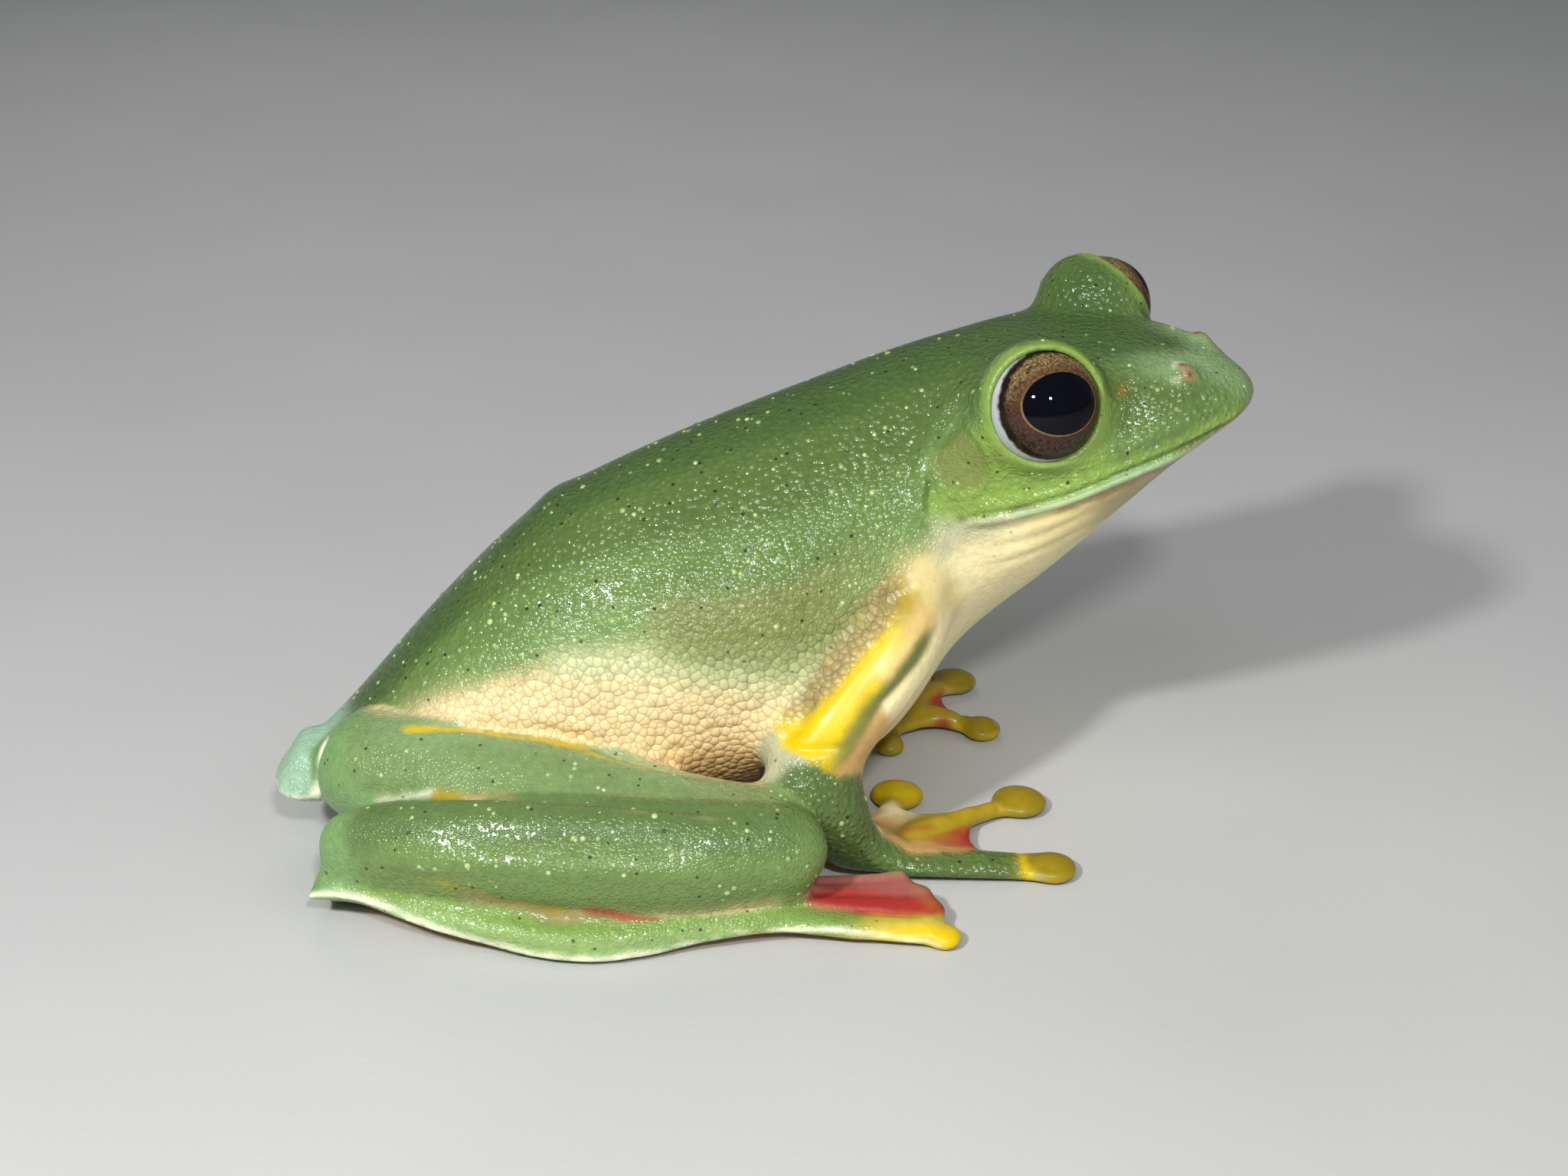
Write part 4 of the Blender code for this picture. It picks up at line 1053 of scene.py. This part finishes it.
def eye(end):
    centre = middle_of("eye_" + end)
    way = aim(SIDES[end], *IRIS_AIM)
    level = way.cross(UP).normalized() * SIDES[end]
    rise = level.cross(way) * SIDES[end]
    turn = way.to_track_quat("Z", "Y").to_matrix().to_4x4()
    bpy.ops.mesh.primitive_uv_sphere_add(segments=64, ring_count=40, radius=EYEBALL * MM)
    ball = bpy.context.object
    ball.name = "eyeball_" + end
    for vert in ball.data.vertices:
        lean = math.acos(max(-1.0, min(1.0, vert.co.z / (EYEBALL * MM))))
        vert.co *= 1 + CORNEA / EYEBALL * math.exp(-((lean / CORNEA_SPREAD) ** 2))
    ball.data.transform(Matrix.Translation(centre * MM) @ turn)
    ball.data.shade_smooth()
    finish = Finish("eye_" + end)
    offset = finish.node("VectorMath", {"operation": "SUBTRACT"}, {0: finish.place, 1: tuple(centre * MM)})

    def reach(axis):
        return finish.node("VectorMath", {"operation": "DOT_PRODUCT"}, {0: offset, 1: tuple(axis)}, 1) / MM

    sideways = reach(level)
    upright = reach(rise)
    ring = (sideways * sideways + upright * upright) ** 0.5
    across = (sideways - PUPIL_AHEAD) / PUPIL[0]
    hole = (across * across + (upright / PUPIL[1]) ** 2.0) ** 0.5
    front = 1.0 - reach(way).below(0.0, 0.2)
    rough_edge = (finish.noise(0.5) - 0.5) * 0.25
    streaks = finish.noise(0.28, 4.0)
    high = 1.0 - (upright + rough_edge * 2.0).below(0.6, 2.4)
    iris = finish.scaled(finish.mix(high, IRIS_LOW, IRIS_HIGH), (streaks - 0.25) * 2.6)
    gold = finish.cells(0.22).below(0.3, 0.2) * (0.15 + high * 0.6)
    inner = (hole + rough_edge * 0.3).below(1.22, 0.3)
    thin_ring = hole.below(1.035, 0.03) * streaks * (0.9 - high * 0.7)
    rim = 1.0 - (ring + rough_edge * 1.4).below(IRIS - 0.3, 0.2)
    layers = [(gold, IRIS_GOLD), (inner * 0.7, IRIS_INNER), (thin_ring, PUPIL_RING)]
    for share, shade in layers + [(hole.below(1.0, 0.03), PUPIL_BLACK), (rim, IRIS_RIM)]:
        iris = finish.mix(share, iris, shade)
    white = finish.scaled(EYE_WHITE, 0.85 + finish.noise(0.9) * 0.3)
    inside = (ring + rough_edge * 0.6).below(IRIS, 0.12) * front
    finish.set(Base_Color=finish.mix(inside, white, iris), Roughness=0.12 + finish.noise(1.5) * 0.08)
    finish.set(Coat_Weight=0.35, Coat_Roughness=0.02, Specular_IOR_Level=0.0)
    finish.set(Normal=finish.bump((finish.noise(0.6) - 0.5) * 0.004))
    ball.data.materials.append(finish.material)
    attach(ball, "root")
    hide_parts("eye_" + end)
    "eye_" + end


for end in SIDES:
    eye(end)


# Small raised dots, scattered over the green skin: pale domes, each under a third of a millimetre in
# radius. They stand where the skin is granular and clear of the floor, and fewer of them on the head.
DOTS = 540
DOT_SIZES = (0.12, 0.27)
DOT_SPOKES = 7
DOT_RINGS = [(1.0, 0.0), (0.72, 0.42)]
DOT_TOP = 0.5
DOT_SUNK = 0.1
DOT_PALE = (188, 206, 136)
DOT_GRAIN = 0.55
DOT_LOWEST = 2.5
HEAD_DOTS = 0.3
draw = np.random.default_rng(7)
spans = np.linalg.norm(clay.points[clay.links[:, 0]] - clay.points[clay.links[:, 1]], axis=1) ** 2
spread = np.bincount(clay.links.ravel(), np.repeat(spans, 2), len(coat))
spread *= (coat[:, 3] > DOT_GRAIN) & (clay.points[:, 2] > DOT_LOWEST)
spread *= np.where(np.array([part == "head" for part in part_of])[owner], HEAD_DOTS, 1.0)
points = []
faces = []
shades = []
for at in draw.choice(len(coat), DOTS, replace=False, p=spread / spread.sum()):
    base = Vector(clay.points[at])
    normal = Vector(clay.normals[at])
    size = draw.uniform(*DOT_SIZES) * draw.uniform(0.7, 1.1)
    first = len(points)
    side_way = normal.orthogonal().normalized()
    other_way = normal.cross(side_way)
    for wide, high in DOT_RINGS:
        for k in range(DOT_SPOKES):
            turn = 2 * math.pi * k / DOT_SPOKES
            spoke = side_way * math.cos(turn) + other_way * math.sin(turn)
            points.append((base + (spoke * wide + normal * (high - DOT_SUNK)) * size) * MM)
    points.append((base + normal * size * DOT_TOP) * MM)
    for k in range(DOT_SPOKES):
        after = (k + 1) % DOT_SPOKES
        lower = first + k, first + after
        upper = first + DOT_SPOKES + k, first + DOT_SPOKES + after
        faces.append((lower[0], lower[1], upper[1], upper[0]))
        faces.append((upper[0], upper[1], first + 2 * DOT_SPOKES))
    pale_share = draw.uniform(0.1, 0.75)
    shade = coat[at, :3] * (1 - pale_share) + linear(DOT_PALE) * pale_share
    shades += [(*shade, 1.0)] * (2 * DOT_SPOKES + 1)
mesh = bpy.data.meshes.new("tubercles")
mesh.from_pydata(points, [], faces)
store(mesh, "paint", "FLOAT_COLOR", "color", shades)
mesh.shade_smooth()
dots = bpy.data.objects.new("tubercles", mesh)
bpy.context.scene.collection.objects.link(dots)
bead = Finish("tubercles")
bead.set(Base_Color=bead.scaled(bead.attribute("paint", 0), 0.9 + bead.noise(0.5) * 0.3))
bead.set(Roughness=0.3 + bead.noise(0.4) * 0.2, Coat_Weight=0.6, Coat_Roughness=0.1)
bead.set(Normal=bead.bump((bead.noise(0.12) - 0.5) * 0.02))
mesh.materials.append(bead.material)
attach(dots, "root")


# The floor, lights and camera.
FLOOR_GREY = (0.52, 0.52, 0.51)
bpy.ops.mesh.primitive_plane_add(size=3.0, location=(0, 0, 0))
floor = bpy.context.object
floor.name = "floor"
ground = Finish("floor")
ground_tone = 0.95 + (ground.noise(40.0, 4.0) - 0.5) * 0.12
ground.set(Base_Color=ground.scaled(FLOOR_GREY, ground_tone))
ground.set(Roughness=0.55 + ground.noise(12.0) * 0.15)
ground.set(Normal=ground.bump((ground.noise(0.5) - 0.5) * 0.02))
floor.data.materials.append(ground.material)

CAMERA_TARGET = Vector((2.05, 0.46, 16.6))
CAMERA_LIFT = math.radians(25)
CAMERA_AWAY = 200.0
LENS = 57.0
SENSOR = 36.0
bpy.ops.object.camera_add()
camera = bpy.context.object
away = Vector((0, -math.cos(CAMERA_LIFT), math.sin(CAMERA_LIFT)))
camera.location = (CAMERA_TARGET + away * CAMERA_AWAY) * MM
camera.rotation_euler = away.to_track_quat("Z", "Y").to_euler()
camera.data.lens = LENS
camera.data.sensor_width = SENSOR
camera.data.clip_start = 0.01
bpy.context.scene.camera = camera


def lamp(name, place, size, power, mirrored=True):
    bpy.ops.object.light_add(type="AREA", location=Vector(place) * MM)
    light = bpy.context.object
    light.name = name
    light.data.shape = "DISK"
    light.data.size = size * MM
    light.data.energy = power
    light.visible_glossy = mirrored
    towards = Vector(place) - CAMERA_TARGET
    light.rotation_euler = towards.to_track_quat("Z", "Y").to_euler()


lamp("key", (-126, -196, 201), 24, 0.66)
lamp("second", (31, -227, 196), 24, 0.4)
lamp("soft", (-120, -260, 400), 340, 0.4, mirrored=False)
lamp("fill", (300, -200, 180), 320, 0.3, mirrored=False)
lamp("back", (-60, 260, 260), 200, 0.2, mirrored=False)
bpy.context.scene.view_settings.view_transform = "Standard"
world = bpy.data.worlds.new("studio")
bpy.context.scene.world = world
world.use_nodes = True
world.node_tree.nodes["Background"].inputs["Color"].default_value = (0.9, 0.95, 1.0, 1)
world.node_tree.nodes["Background"].inputs["Strength"].default_value = 0.14
